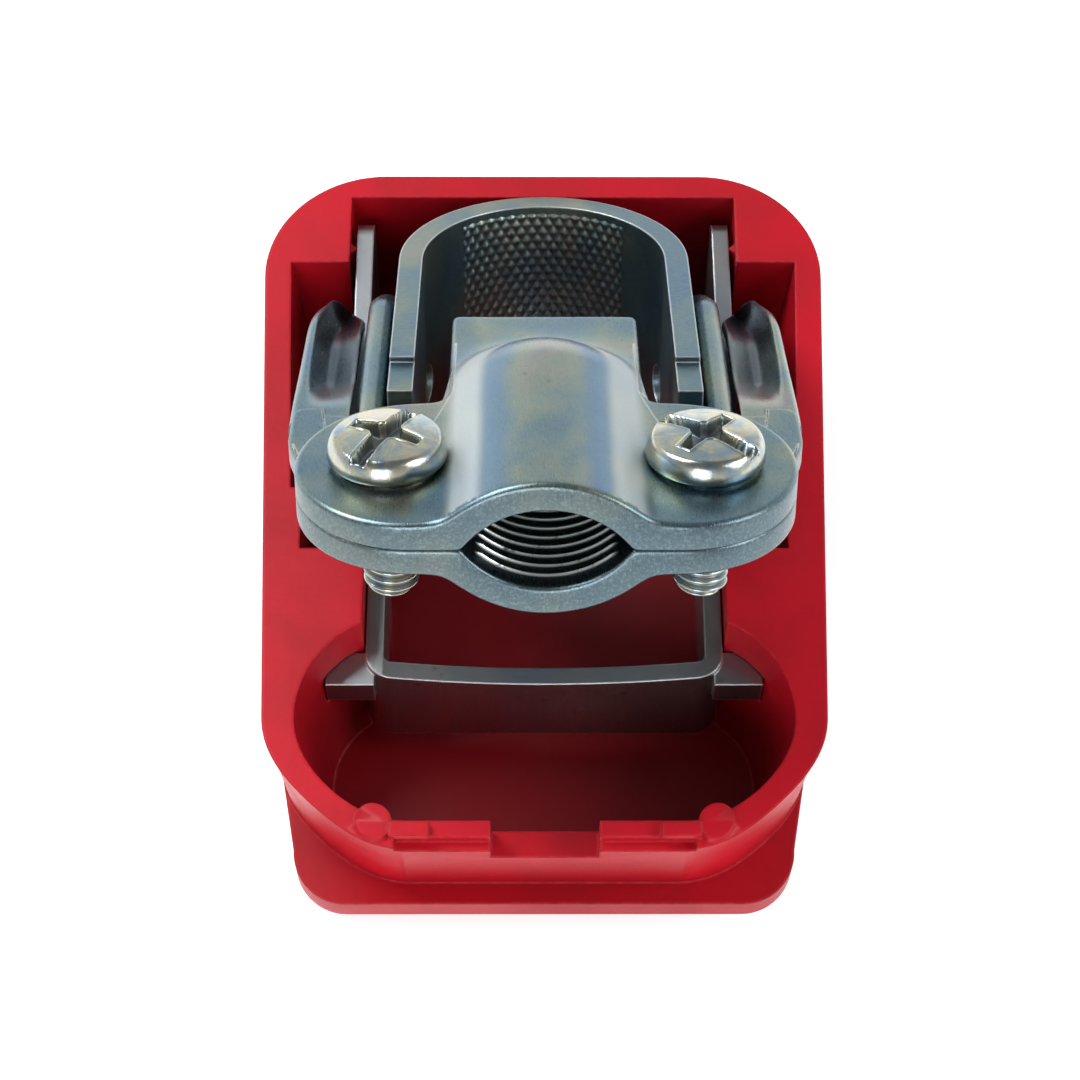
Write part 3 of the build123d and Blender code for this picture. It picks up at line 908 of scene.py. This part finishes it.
# ---- plates
def rounded_path(corners: Sequence[tuple[float, float, float]], count: int) -> Array:
    """An open path through corners, each cut by an arc, as evenly spaced points.

    An arc of radius k touches both of its runs at k times the tangent of half the turn from the corner,
    and is drawn as a quadratic curve with the corner as its control point.

    Args:
        corners: Corners as (x, reach, radius), in millimetres.
        count: Number of points.

    Returns:
        An array of shape (count, 2).
    """
    places = np.array([corner[:2] for corner in corners], dtype=float)
    pieces = [places[:1]]
    share = np.linspace(0, 1, 13)[:, None]
    for before, here, after, corner in zip(places, places[1:], places[2:], corners[1:-1]):
        first, second = before - here, after - here
        reach_first, reach_second = np.linalg.norm(first), np.linalg.norm(second)
        turn = math.pi - math.acos(np.clip(first @ second / (reach_first * reach_second), -1, 1))
        cut = min(corner[2] * math.tan(turn / 2), reach_first * 0.499, reach_second * 0.499)
        start, end = here + first / reach_first * cut, here + second / reach_second * cut
        pieces.append((1 - share) ** 2 * start + 2 * share * (1 - share) * here + share ** 2 * end)
    pieces.append(places[-1:])
    line = np.concatenate(pieces)
    return even_steps(line, count)


def even_steps(line: Array, count: int) -> Array:
    """The same line as evenly spaced points.

    Args:
        line: Points, shape (n, 2).
        count: Number of points wanted.

    Returns:
        An array of shape (count, 2).
    """
    steps = np.concatenate(([0.0], np.cumsum(np.linalg.norm(np.diff(line, axis=0), axis=1))))
    wanted = np.linspace(0, steps[-1], count)
    return np.stack([np.interp(wanted, steps, line[:, k]) for k in range(2)], axis=1)


@dataclass
class LobePlate:
    """One of the two pressed plates that clamp the cable. Lengths in millimetres, in the clamp's frame."""

    name: str
    node: str
    body: str
    back: Array
    front: Array
    upwards: bool
    fillet: float
    seed: int
    joint: float = 9.3
    sheet: float = 2.0
    lift: float = 0.0
    channel_radius: float = 7.0
    sagitta: float = 3.2
    end_reach: float = 23.5
    roll: float = 0.42
    burr: float = 0.32
    steep_share: float = 0.84
    inner_fillet: float = 0.25
    clearance: float = 0.12
    uneven: float = 0.018
    wall_rows: Sequence[int] = (4, 10)
    rows: int = 96

    def arch(self, x: Array, reach: Array, radius: float, fillet: float) -> Array:
        """Height of the channel over the flat sheet.

        With w the distance from the channel's axis, or from its end point beyond the end, the arch is the
        circle's height there, continued as a straight slope where it has grown steep, and it joins the flat
        by a smooth maximum of it and zero.

        Args:
            x: Place across.
            reach: Place along the channel.
            radius: Radius of the arch.
            fillet: Width over which it joins the flat.

        Returns:
            The height.
        """
        w = np.hypot(x, np.minimum(reach - self.end_reach, 0.0))
        steep = radius * self.steep_share
        inside = np.sqrt(np.maximum(radius ** 2 - np.minimum(w, steep) ** 2, 1e-9))
        slope = steep / math.sqrt(radius ** 2 - steep ** 2)
        height = inside - radius + self.sagitta - slope * np.maximum(w - steep, 0.0)
        return 0.5 * (height + np.sqrt(height ** 2 + fillet ** 2))

    def level(self, x: Array, reach: Array, outside: bool) -> Array:
        """Height of a face of the plate along the clamp's normal.

        Args:
            x: Place across.
            reach: Place along.
            outside: Whether it is the face away from the other plate.

        Returns:
            The height.
        """
        if outside:
            rise = self.lift + self.sheet + self.arch(x, reach, self.channel_radius + self.sheet, self.fillet)
            rise = rise + self.uneven * ripple(x, reach, self.seed, 10, 0.25, 1.3)
        else:
            rise = self.lift + self.arch(x, reach, self.channel_radius, self.inner_fillet) - self.clearance
        return self.joint + rise if self.upwards else self.joint - rise

    def build(self) -> Piece:
        """Makes the plate from its two faces and its rim.

        Each face is ruled between the back and the front edge, which are first drawn in by the rim's
        radius, and takes its height from the pressing. The rim is a quarter circle, the sheared wall and a
        smaller quarter circle, carried round the whole outline.

        Returns:
            The plate's object.
        """
        outline = np.concatenate((self.back, self.front[::-1][1:-1]))
        out = outward(outline)

        def drawn_in(amount: float) -> tuple[Array, Array, Array]:
            """The outline and its back and front edges, drawn in by an amount."""
            inner = outline - out * amount
            count = len(self.back)
            first = inner[:count]
            second = np.concatenate((inner[:1], inner[count:][::-1], inner[count - 1:count]))
            return inner, first, second

        def face(amount: float, outside: bool) -> Array:
            """One face as a grid of (x, reach, z)."""
            _, first, second = drawn_in(amount)
            share = np.linspace(0, 1, self.rows)[None, :, None]
            plan = first[:, None] * (1 - share) + second[:, None] * share
            return np.concatenate((plan, self.level(plan[..., 0], plan[..., 1], outside)[..., None]), axis=-1)

        sign = 1.0 if self.upwards else -1.0
        rim = []
        for outside, inwards, radius, angles in ((True, -sign, self.roll, np.linspace(0, QUARTER, 7)),
                                                 (False, sign, self.burr, np.linspace(QUARTER, 0, 5))):
            for angle in angles:
                ring, _, _ = drawn_in(radius * (1 - math.sin(angle)))
                z = self.level(ring[:, 0], ring[:, 1], outside) + inwards * radius * (1 - math.cos(angle))
                rim.append(np.column_stack((ring, z)))
        rim = np.stack(rim)
        wall = np.zeros(rim.shape[:2])
        wall[slice(*self.wall_rows)] = 1.0
        outer, inner = face(self.roll, True), face(self.burr, False)
        parts = (outer, inner, rim)
        points = np.concatenate([part.reshape(-1, 3) for part in parts])
        starts = np.cumsum([0] + [part.shape[0] * part.shape[1] for part in parts[:-1]])
        faces = np.concatenate((
            grid_faces(outer.shape[0], outer.shape[1]) + starts[0],
            grid_faces(inner.shape[0], inner.shape[1]) + starts[1],
            grid_faces(rim.shape[0], rim.shape[1], wrap_columns=True) + starts[2]))
        raised = abs(outer[..., 2].ravel() - self.joint) - self.lift - self.sheet
        # the sheared wall, which takes painted shade and torn patches
        marks = {"rim": np.concatenate((np.zeros(starts[2]), wall.ravel()))}
        # a painted highlight band on the bend and a painted blue reflection band on the flank of the pressing,
        # by the outer face's height over the flat
        for key, rising, falling in (("bend_highlight", (0.35, 0.9), (1.8, 2.3)), ("flank_reflection", (1.9, 2.4), (2.6, 3.1))):
            marks[key] = np.zeros(len(points))
            marks[key][:len(raised)] = smooth_step(raised, *rising) * (1 - smooth_step(raised, *falling))
        placed = CLAMP.to_row(*points.T)
        return mesh_piece(self.name, placed, drop_slivers(placed, faces), marks, merge=2e-6)

    def dress(self, material: Material) -> Piece:
        """Builds the plate and lets it stand for the solid model's plate."""
        return settle(self.build(), material, self.body, self.node)


def drop_slivers(points: Array, faces: Array, least: float = 4e-6) -> list[list[int]]:
    """Faces without those that shrink to a line where a grid's two edges meet.

    Args:
        points: Points, in metres.
        faces: Quads, shape (n, 4).
        least: Shortest diagonal that a face may have, in metres.

    Returns:
        The faces that are left.
    """
    corners = points[faces]
    first = np.linalg.norm(corners[:, 0] - corners[:, 2], axis=1)
    second = np.linalg.norm(corners[:, 1] - corners[:, 3], axis=1)
    return faces[(first > least) & (second > least)].tolist()


def lobe_arc(side: int, start: float, end: float, count: int = 40) -> Array:
    """Part of one lobe's round end, on the left for side -1, between two angles from +x in degrees."""
    angle = np.radians(np.linspace(start, end, count))
    x, reach = side * LOBE_ACROSS + LOBE_RADIUS * np.cos(angle), LOBE_REACH + LOBE_RADIUS * np.sin(angle)
    return np.stack((x, reach), axis=1)


def plate_edges(arc: Array, neck: Array, count: int) -> tuple[Array, Array]:
    """The two edges that a plate is ruled between.

    Args:
        arc: The part of the left lobe's round end that belongs to the back edge.
        neck: The back edge from there to the middle, mirrored for the other half.
        count: Number of points on each edge.

    Returns:
        The back edge, and the front edge over both lobes.
    """
    half = np.concatenate((arc, neck[1:]))
    back = np.concatenate((half, half[::-1][1:] * (-1, 1)))
    front = np.concatenate((lobe_arc(-1, 180, 90), lobe_arc(1, 90, 0)))
    return even_steps(back, count), even_steps(front, count)


def saddle_plate() -> LobePlate:
    """The upper plate: two lobes, the tongue towards the collar and the dome-ended channel."""
    neck = rounded_path(((-9.3, 25.15, 0), (-7.2, 25.15, 2.1), (-7.2, 11.4, 0.7), (0, 11.4, 0)), 90)
    back, front = plate_edges(lobe_arc(-1, 180, 270), neck, 261)
    return LobePlate("saddle_pressed", "saddle", "saddle", back, front, True, 1.15, 31, lift=0.06)


def lower_plate() -> LobePlate:
    """The lower plate: two lobes, bridges to the ears and wings, the tongue and the cable trough."""
    arc = lobe_arc(-1, 180, 193, 12)
    neck = rounded_path((tuple(arc[-1]) + (0,), (-18.85, 27.5, 6.0), (-18.85, 22.4, 1.2), (-16.3, 22.4, 0.2),
                         (-16.3, 23.5, 0.2), (-8.6, 23.5, 1.4), (-7.2, 21.2, 0.8), (-7.2, 11.4, 0.7),
                         (0, 11.4, 0)), 130)
    back, front = plate_edges(arc, neck, 301)
    return LobePlate("base_pressed", "base_plate", "clamp_base", back, front, False, 0.9, 47)


@dataclass
class DrawnEars:
    """What hangs from the lower plate: its jaw, and a flat ear and a drawn wing on each side. Millimetres."""

    inner_face: float = 12.12
    outer_face: float = 14.18
    pin_radius: float = 4.6
    shoulder_reach: float = 7.0
    plate_top: float = 9.3
    plate_under: float = 7.3
    ear_end: float = 34.0
    wing_inner: float = 16.0
    wing_outer: float = 19.0
    shelf: float = 1.4
    wing_far: float = -5.6
    wing_near: float = 24.6
    ear_draw: float = 0.85
    jaw_draw: float = 0.5
    along: int = 120
    sheet: float = 2.0
    jaw_reach: float = 11.4
    jaw_half_width: float = 7.2
    jaw_foot: float = -4.6
    jaw_top: float = 8.9

    def side_outline(self, count: int) -> Array:
        """The inner ear's outline in (reach, z): round the pin, over the shoulder and along the plate."""
        corners = ((-2.0, -self.pin_radius, 4.4), (-self.pin_radius, -self.pin_radius, 4.4),
                   (-self.pin_radius, self.pin_radius + 0.6, 4.6), (4.4, self.plate_top, 5.0),
                   (self.ear_end, self.plate_top, 0.8), (self.ear_end, self.plate_under, 0.8),
                   (21.0, self.plate_under, 6.0), (5.0, -self.pin_radius, 4.0),
                   (-2.0, -self.pin_radius, 4.4))
        return rounded_path(corners, count)

    def jaw_outline(self, count: int) -> Array:
        """The jaw's outline in (reach, z): a strip turned down from the tongue to the collar's foot."""
        far, near = self.jaw_reach, self.jaw_reach + self.sheet
        middle = (far + near) / 2
        corners = ((middle, self.jaw_foot, 0), (far, self.jaw_foot, 0.5), (far, self.jaw_top, 0.5),
                   (near, self.jaw_top, 0.5), (near, self.jaw_foot, 0.5), (middle, self.jaw_foot, 0))
        return rounded_path(corners, count)

    @staticmethod
    def slab(outline: Array, inner: float, outer: float, draw_in: float, centre: Sequence[float]) -> Array:
        """A slab across the clamp, whose rim is a half circle.

        Rings of the outline are drawn in by d * (1 - sin a) and moved across by r * cos a, with r half the
        thickness, as a goes from one face to the other, and each face closes towards its middle.

        Args:
            outline: The side view in (reach, z).
            inner: Place across of one face.
            outer: Place across of the other.
            draw_in: d, how far the faces are drawn in.
            centre: The middle of the faces, in (reach, z).

        Returns:
            Points (x, reach, z) in rings.
        """
        out = outward(outline)
        angle = np.linspace(0, math.pi, 17)
        rings = outline[None] - out[None] * (draw_in * (1 - np.sin(angle)))[:, None, None]
        across = (outer + inner) / 2 + (outer - inner) / 2 * np.cos(angle)[:, None] * np.ones(len(outline))
        ring_points = np.concatenate((across[..., None], rings), axis=-1)
        caps = [np.column_stack((across[row], centre + (rings[row] - centre) * 0.5)) for row in (0, -1)]
        return np.concatenate((caps[0][None], ring_points, caps[1][None]))

    def ear(self, side: int) -> Array:
        """One inner ear, 1 for right and -1 for left."""
        return self.slab(self.side_outline(181)[:-1], side * self.inner_face, side * self.outer_face,
                         self.ear_draw, (self.shoulder_reach, 2.6))

    def jaw(self) -> Array:
        """The jaw that the collar draws the post against."""
        middle = (self.jaw_reach + self.sheet / 2, (self.jaw_top + self.jaw_foot) / 2)
        return self.slab(self.jaw_outline(121)[:-1], -self.jaw_half_width, self.jaw_half_width,
                         self.jaw_draw, middle)

    def wing(self, side: int) -> Array:
        """One wing, a drawn shell: a rounded outer wall with a rolled rim, hollow towards the cheek.

        Along its length, t from 0 at the far end to 1 at the plate, the width grows as a power of a sine and
        the rim follows the ear's side view. The section is a closed polygon, from the cheek up a hollow to
        the rim, down the outer wall and back inside, whose corners are cut three times at a quarter and
        three quarters of each side, which makes it a smooth curve.

        Args:
            side: 1 for right, -1 for left.

        Returns:
            Points (x, reach, z, how much painted shade it takes) in rings.
        """
        t = np.linspace(0, 1, self.along) ** 1.35
        reach = self.wing_far + (self.wing_near - self.wing_far) * t
        inner = self.wing_inner - self.shelf * smooth_step(reach, -2.5, 4.0)
        width = (self.wing_outer - inner) * np.sin(np.clip(t * 1.9, 0, 1) * math.pi / 2) ** 0.55
        round_off = np.sqrt(np.clip(1 - (1 - np.clip(t / 0.20, 0, 1)) ** 2, 0, 1))
        top = 1.2 + (4.4 + (self.plate_top - 5.6) * smooth_step(t, 0.0, 0.50)) * round_off
        bottom = 1.0 - (5.4 - (self.plate_under + 3.8) * smooth_step(t, 0.32, 0.95)) * round_off
        hollow = round_off * (1 - smooth_step(t, 0.66, 0.93))
        section = np.array((
            # share of the width, depth of the hollow under the rim, share of the height to the bottom, painted
            # shade
            (0.00, 1.2, 0.0, 0.8), (0.20, 1.7, 0.0, 1.0), (0.50, 2.3, 0.0, 1.0), (0.68, 1.3, 0.0, 0.8),
            (0.76, 0.20, 0.0, 0.0), (0.85, -0.12, 0.0, 0.0), (0.97, 0.10, 0.02, 0.0), (1.02, 0.0, 0.25, 0.0),
            (1.00, 0.0, 0.65, 0.0), (0.90, 0.0, 1.0, 0.0), (0.74, 0.0, 0.98, 0.4), (0.70, 0.9, 0.50, 0.8),
            (0.56, 2.8, 0.08, 0.8), (0.24, 2.2, 0.06, 0.8), (0.00, 1.65, 0.06, 0.8)))
        height = top - bottom
        x = inner[:, None] + width[:, None] * section[:, 0]
        z = top[:, None] - hollow[:, None] * section[:, 1] - height[:, None] * section[:, 2]
        z = np.maximum(z, bottom[:, None])
        loop = np.stack((x, z, hollow[:, None] * section[:, 3]), axis=-1)
        for _ in range(3):
            following = np.roll(loop, -1, axis=1)
            loop = np.stack((loop * 0.75 + following * 0.25, loop * 0.25 + following * 0.75),
                            axis=2).reshape(len(t), -1, 3)
        length = np.broadcast_to(reach[:, None], loop.shape[:2])
        return np.stack((side * loop[..., 0], length, loop[..., 1], loop[..., 2]), axis=-1)

    @staticmethod
    def shell(name: str, rings: Array) -> Piece:
        """Makes a closed piece from rings of points.

        Args:
            name: The piece's name.
            rings: Points (x, reach, z) in rings, with the painted shade of each one as a fourth number or none.

        Returns:
            The piece.
        """
        flat = rings.reshape(-1, rings.shape[-1])
        # a wing's painted shade in its hollow, carried as "sunk"
        marks = {"sunk": flat[:, 3]} if flat.shape[1] > 3 else None
        return mesh_piece(name, CLAMP.to_row(*flat.T[:3]), tube_faces(*rings.shape[:2]), marks)

    def build(self) -> list[Piece]:
        """Makes the jaw, both ears and both wings."""
        made = [self.shell("jaw", self.jaw())]
        for side, word in ((-1, "left"), (1, "right")):
            made.append(self.shell(f"ear_{word}", self.ear(side)))
            made.append(self.shell(f"wing_{word}", self.wing(side)))
        return made

    def dress(self, material: Material) -> list[Piece]:
        """Builds the jaw, the ears and the wings and fixes them to the base plate."""
        return [settle(piece, material, "clamp_base") for piece in self.build()]


@dataclass
class ChannelRidges:
    """The sharp thread-like ridges across the cable trough of the lower plate. Millimetres."""

    radius: float = 7.0
    axis_level: float = 13.1
    half_angle: float = math.radians(50.0)
    near: float = 41.6
    far: float = 27.2
    pitch: float = 1.2
    height: float = 0.30
    crest_width: float = 0.13
    base: float = 0.03
    tuck: float = 0.10
    sunk: float = 0.5
    columns: int = 90
    steps: int = 240

    def build(self) -> Piece:
        """Makes the ridged skin as a closed shell on the trough.

        Along the channel the height is a narrow bell round each whole multiple of the pitch, and it fades
        where the skin meets the plate at its sides and ends.

        Returns:
            The skin's object.
        """
        angle = np.linspace(-self.half_angle, self.half_angle, self.columns)[:, None]
        reach = np.linspace(self.far, self.near, self.steps)[None, :]
        place = abs(np.mod((self.near - reach) / self.pitch + 0.5, 1.0) - 0.5)
        crest = np.exp(-((place / self.crest_width) ** 2))
        inside = self.half_angle - abs(angle)
        fade = smooth_step(inside, 0.0, 0.16) * smooth_step(reach, self.far, self.far + 1.5)
        fade = fade * smooth_step(-reach, -self.near, 0.3 - self.near)
        proud = self.base + self.height * crest * fade - self.tuck * (1 - smooth_step(inside, 0.0, 0.06))
        radius, along = backed(self.radius - proud, reach + 0 * angle, self.radius + self.sunk)
        mark = np.concatenate((crest * fade, np.zeros((self.columns, 2))), axis=1)
        points = CLAMP.to_row(radius * np.sin(angle), along, self.axis_level - radius * np.cos(angle))
        return mesh_piece("channel_ridges", points, tube_faces(*along.shape), {"crest": mark})

    def dress(self, material: Material) -> Piece:
        """Builds the ridges and fixes them to the base plate."""
        return settle(self.build(), material, "clamp_base")


# ---- cover
@dataclass
class LeverCover:
    """The moulded cover: the solid's shape with its lip and its near corners as moulded. Millimetres."""

    hinge_end: float = 31.05
    lip_start: float = 50.5
    pocket_centre: float = 50.7
    pocket_axis: float = 10.5
    pocket_radius: float = 8.7
    lip_half_width: float = 21.0
    lip_drawn: float = 19.8
    lip_corner: float = 4.5
    lip_end: float = 62.1
    level_from: Sequence[float] = (0.0, 2.0, 7.0, 9.4, 12.0, 16.8, 17.0, 18.0)
    level_to: Sequence[float] = (0.0, 1.3, 3.6, 6.0, 12.0, 16.8, 17.3, 18.3)
    rim_level: float = 16.8
    lip_under: float = 6.9
    lip_top: float = 9.4
    lip_over: float = 9.5
    lip_run: float = 6.6
    corner_across: float = 10.2
    corner_along: float = 50.7
    corner_draw: float = 0.9
    corner_reach: float = 2.2
    pocket_draw: float = 0.35
    # where the painted shade in the hollows lies and how far down it deepens, and the painted shade on top of
    # the lip
    floor_level: float = 2.2
    full_depth: float = 9.0
    lip_shade: float = 0.45
    bays: Sequence[tuple] = ((16.7, 1.5, 46.0), (19.6, 13.0, 37.0))
    sharp_angle: float = math.radians(11)

    def from_pocket(self, x: Array, v: Array) -> Array:
        """Distance from the straight axis of the pocket, whose ends are half circles."""
        return np.hypot(np.maximum(abs(x) - self.pocket_axis, 0.0), v - self.pocket_centre)

    def moulded(self, points: Array) -> Array:
        """Moves the solid's points to the moulded shape.

        Levels outside the pocket, and those over the rim, slide by a table of straight steps, so the lip
        hangs lower and what stands over the rim rises a little. The lip's rim is scaled towards the middle.
        Round the centre of each near corner, with a the angle from the side, a point is drawn in by an
        amount times sin(2a) squared.

        Args:
            points: Points, shape (n, 3), in millimetres.

        Returns:
            The moved points.
        """
        x, y, z = points.T.copy()
        v = self.hinge_end - y
        from_pocket = self.from_pocket(x, v)
        outside = (from_pocket > self.pocket_radius + 0.2) & (v > self.lip_start)
        near_lip = (z > self.lip_under) & (z < self.lip_over) & (v > self.lip_start)
        edge = self.lip_half_width - self.lip_corner
        on_arc = ((abs(x) > edge) & (v > self.lip_end - self.lip_corner)
                  & (abs(np.hypot(abs(x) - edge, v - self.lip_end + self.lip_corner) - self.lip_corner) < 0.03))
        on_rim = near_lip & ((abs(x) > self.lip_half_width - 0.01) | (v > self.lip_end - 0.01) | on_arc)
        z = np.where(outside | (z > self.rim_level + 0.05), np.interp(z, self.level_from, self.level_to), z)

        across, along = abs(x) - self.corner_across, v - self.corner_along
        angle = np.arctan2(np.maximum(along, 0.0), np.maximum(across, 1e-6))
        radius = np.hypot(across, along)
        in_corner = (across > 0) & (along > 0) & ~on_rim
        draw = np.interp(from_pocket, (self.pocket_radius + 0.05, self.pocket_radius + self.corner_reach),
                         (self.pocket_draw, self.corner_draw))
        drawn = in_corner & (from_pocket > self.pocket_radius * 0.7)
        draw = np.where(drawn, draw * np.sin(2 * angle) ** 2, 0.0)
        shrink = 1 - draw / np.maximum(radius, 1.0)
        x = np.where(draw > 0, np.sign(x) * (self.corner_across + across * shrink), x)
        v = np.where(draw > 0, self.corner_along + along * shrink, v)
        along_lip = np.clip((v - self.lip_start - 0.5) / self.lip_run, 0.0, 1.0)
        x = np.where(on_rim, x * (1 - (1 - self.lip_drawn / self.lip_half_width) * along_lip), x)
        return np.stack((x, self.hinge_end - v, z), axis=-1)

    def depth(self, points: Array) -> Array:
        """How much painted shade each point of the hollows takes, by its distance under the rim as a share of
        the full depth.

        Args:
            points: Points of the solid, shape (n, 3), in millimetres.

        Returns:
            0 at the rim or outside, 1 at the floors, and a set painted shade on top of the lip plate.
        """
        x, y, z = points.T
        v = self.hinge_end - y
        inside = self.from_pocket(x, v) < self.pocket_radius + 0.15
        for half_width, near, far in self.bays:
            inside = inside | ((abs(x) < half_width) & (v > near) & (v < far))
        share = np.clip((self.rim_level - 0.6 - z) / self.full_depth, 0.0, 1.0)
        # a set painted shade on top of the lip plate
        on_lip = (abs(z - self.lip_top) < 0.05) & (v > self.lip_start) & ~inside
        return np.where(on_lip, self.lip_shade, np.where(inside & (z > self.floor_level), share, 0.0))

    def build(self, solid: Piece) -> Piece:
        """Makes the cover from a merged copy of the solid's mesh.

        Args:
            solid: The solid model's cover.

        Returns:
            The cover's object.
        """
        mesh = solid.data.copy()
        mesh.name = "cover_moulded"
        merge_points(mesh, 2e-6)
        places = np.empty(len(mesh.vertices) * 3, dtype=np.float32)
        mesh.vertices.foreach_get("co", places)
        points = places.reshape(-1, 3).astype(float) / MM
        moved = self.moulded(points) * MM
        # the painted shade of the hollows and of the lip's top, carried as "depth"
        layer = mesh.attributes.new("depth", "FLOAT", "POINT")
        layer.data.foreach_set("value", self.depth(points).astype(np.float32))
        mesh.vertices.foreach_set("co", moved.astype(np.float32).ravel())
        mesh.shade_smooth()
        mesh.set_sharp_from_angle(angle=self.sharp_angle)
        mesh.update()
        piece = show("cover_moulded", mesh)
        even = piece.modifiers.new("even_normals", "WEIGHTED_NORMAL")
        even.keep_sharp, even.weight = True, 100
        return piece

    def dress(self, solid: Piece, material: Material) -> Piece:
        """Builds the cover and lets it stand for the solid model's cover."""
        return settle(self.build(solid), material, "lever", "cover")


# ---- studio
@dataclass
class Studio:
    """Floor, lamps, surroundings and camera. Lengths in metres."""

    camera_from: Sequence[float] = (-0.001412, -0.095248, 0.186094)
    camera_to: Sequence[float] = (-0.000336, -0.005521, 0.018617)
    camera_roll: float = math.radians(0.62)
    lens: float = 80.6
    sensor: float = 36.0
    floor_size: float = 3.0
    floor_gap: float = 2e-5
    aim_height: float = 0.015
    lamps: Sequence[tuple] = field(default_factory=lambda: (
        ("key", (-0.34, 0.26, 0.52), 0.34, 3.4),
        ("fill", (0.46, -0.10, 0.36), 0.30, 1.5),
        ("front", (-0.10, -0.50, 0.30), 0.26, 1.3),
    ))

    def floor(self) -> None:
        """Lays the floor just under the part."""
        half = self.floor_size / 2
        points = np.array([(-half, -half), (half, -half), (half, half), (-half, half)])
        points = np.column_stack((points, np.full(4, -self.floor_gap)))
        piece = mesh_piece("studio_floor", points, [(0, 1, 2, 3)])
        piece.data.materials.append(PaleFloor().make())
        piece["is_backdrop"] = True

    def light(self) -> None:
        """Hangs square soft lamps that aim at the part."""
        for name, place, size, watts in self.lamps:
            lamp = bpy.data.lights.new(name, "AREA")
            lamp.shape, lamp.size, lamp.energy = "SQUARE", size, watts
            holder = show(name, lamp)
            holder.location = place
            aim = Vector((0.0, 0.0, self.aim_height)) - Vector(place)
            holder.rotation_euler = aim.to_track_quat("-Z", "Y").to_euler()

    def surroundings(self) -> None:
        """A white room that dims towards its ceiling, so that metal has something to show."""
        world = bpy.data.worlds.new("studio_room")
        bpy.context.scene.world = world
        world.use_nodes = True
        tree = world.node_tree
        back = tree.nodes["Background"]
        place = tree.nodes.new("ShaderNodeTexCoord").outputs["Generated"]
        parts = tree.nodes.new("ShaderNodeSeparateXYZ")
        tree.links.new(place, parts.inputs[0])
        height = Signal(tree, parts.outputs["Z"])
        level = height.between(0.10, 0.95, 0.85, 0.20)
        rays = tree.nodes.new("ShaderNodeLightPath").outputs
        seen = Signal(tree, rays["Is Camera Ray"])
        strength = seen + (1 - seen) * level
        tree.links.new(strength.socket, back.inputs["Strength"])
        back.inputs["Color"].default_value = (0.97, 0.985, 1.0, 1.0)

    def camera(self) -> None:
        """Sets the camera."""
        data = bpy.data.cameras.new("studio_camera")
        data.lens, data.sensor_width = self.lens, self.sensor
        data.clip_start, data.clip_end = 0.005, 20.0
        holder = show("studio_camera", data)
        holder.location = self.camera_from
        aim = Vector(self.camera_to) - Vector(self.camera_from)
        turn = aim.to_track_quat("-Z", "Y") @ Quaternion((0.0, 0.0, 1.0), self.camera_roll)
        holder.rotation_euler = turn.to_euler()
        bpy.context.scene.camera = holder

    def build(self) -> None:
        """Sets up the whole studio."""
        bpy.context.scene.view_settings.view_transform = "Standard"
        self.floor()
        self.light()
        self.surroundings()
        self.camera()


def corners() -> list[list[float]]:
    """The shown object's lowest and highest corners, as plain lists."""
    return [[float(v) for v in corner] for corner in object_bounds()]


def main() -> None:
    """Builds every piece in order."""
    logging.basicConfig(level=logging.INFO, format="%(name)s: %(message)s")
    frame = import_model()
    Studio().build()

    red = MouldedPlastic().make()
    frame_zinc = ZincSheet("frame_zinc", Tint.FAINT, grey=(0.42, 0.42, 0.46), roughness=0.26).make()
    plate_zinc = ZincSheet("plate_zinc", Tint.CLEAR, roughness=0.22).make()
    collar_zinc = ZincSheet("collar_zinc", Tint.CLEAR, roughness=0.30, rolling=(1.0, 1.0, 0.15)).make()
    solids = frame["nodes"]
    report(LeverCover().dress(solids["cover"], red))
    report(coat(solids["lever_frame"], frame_zinc))
    report(lower_plate().dress(plate_zinc))
    report(ChannelRidges().dress(RidgedSteel().make()))
    report(*DrawnEars().dress(plate_zinc))
    report(saddle_plate().dress(plate_zinc))
    report(coat(solids["collar"], collar_zinc))
    straw = StrawZinc().make()
    report(coat(solids["pin_left"], straw), coat(solids["pin_right"], straw))

    bright = BrightScrew().make()
    for screw in (ClampScrew(-1, math.radians(62), 11), ClampScrew(1, math.radians(-38), 23)):
        report(screw.dress(bright))
    report(CollarKnurl().dress(collar_zinc))


if __name__ == "__main__":
    main()
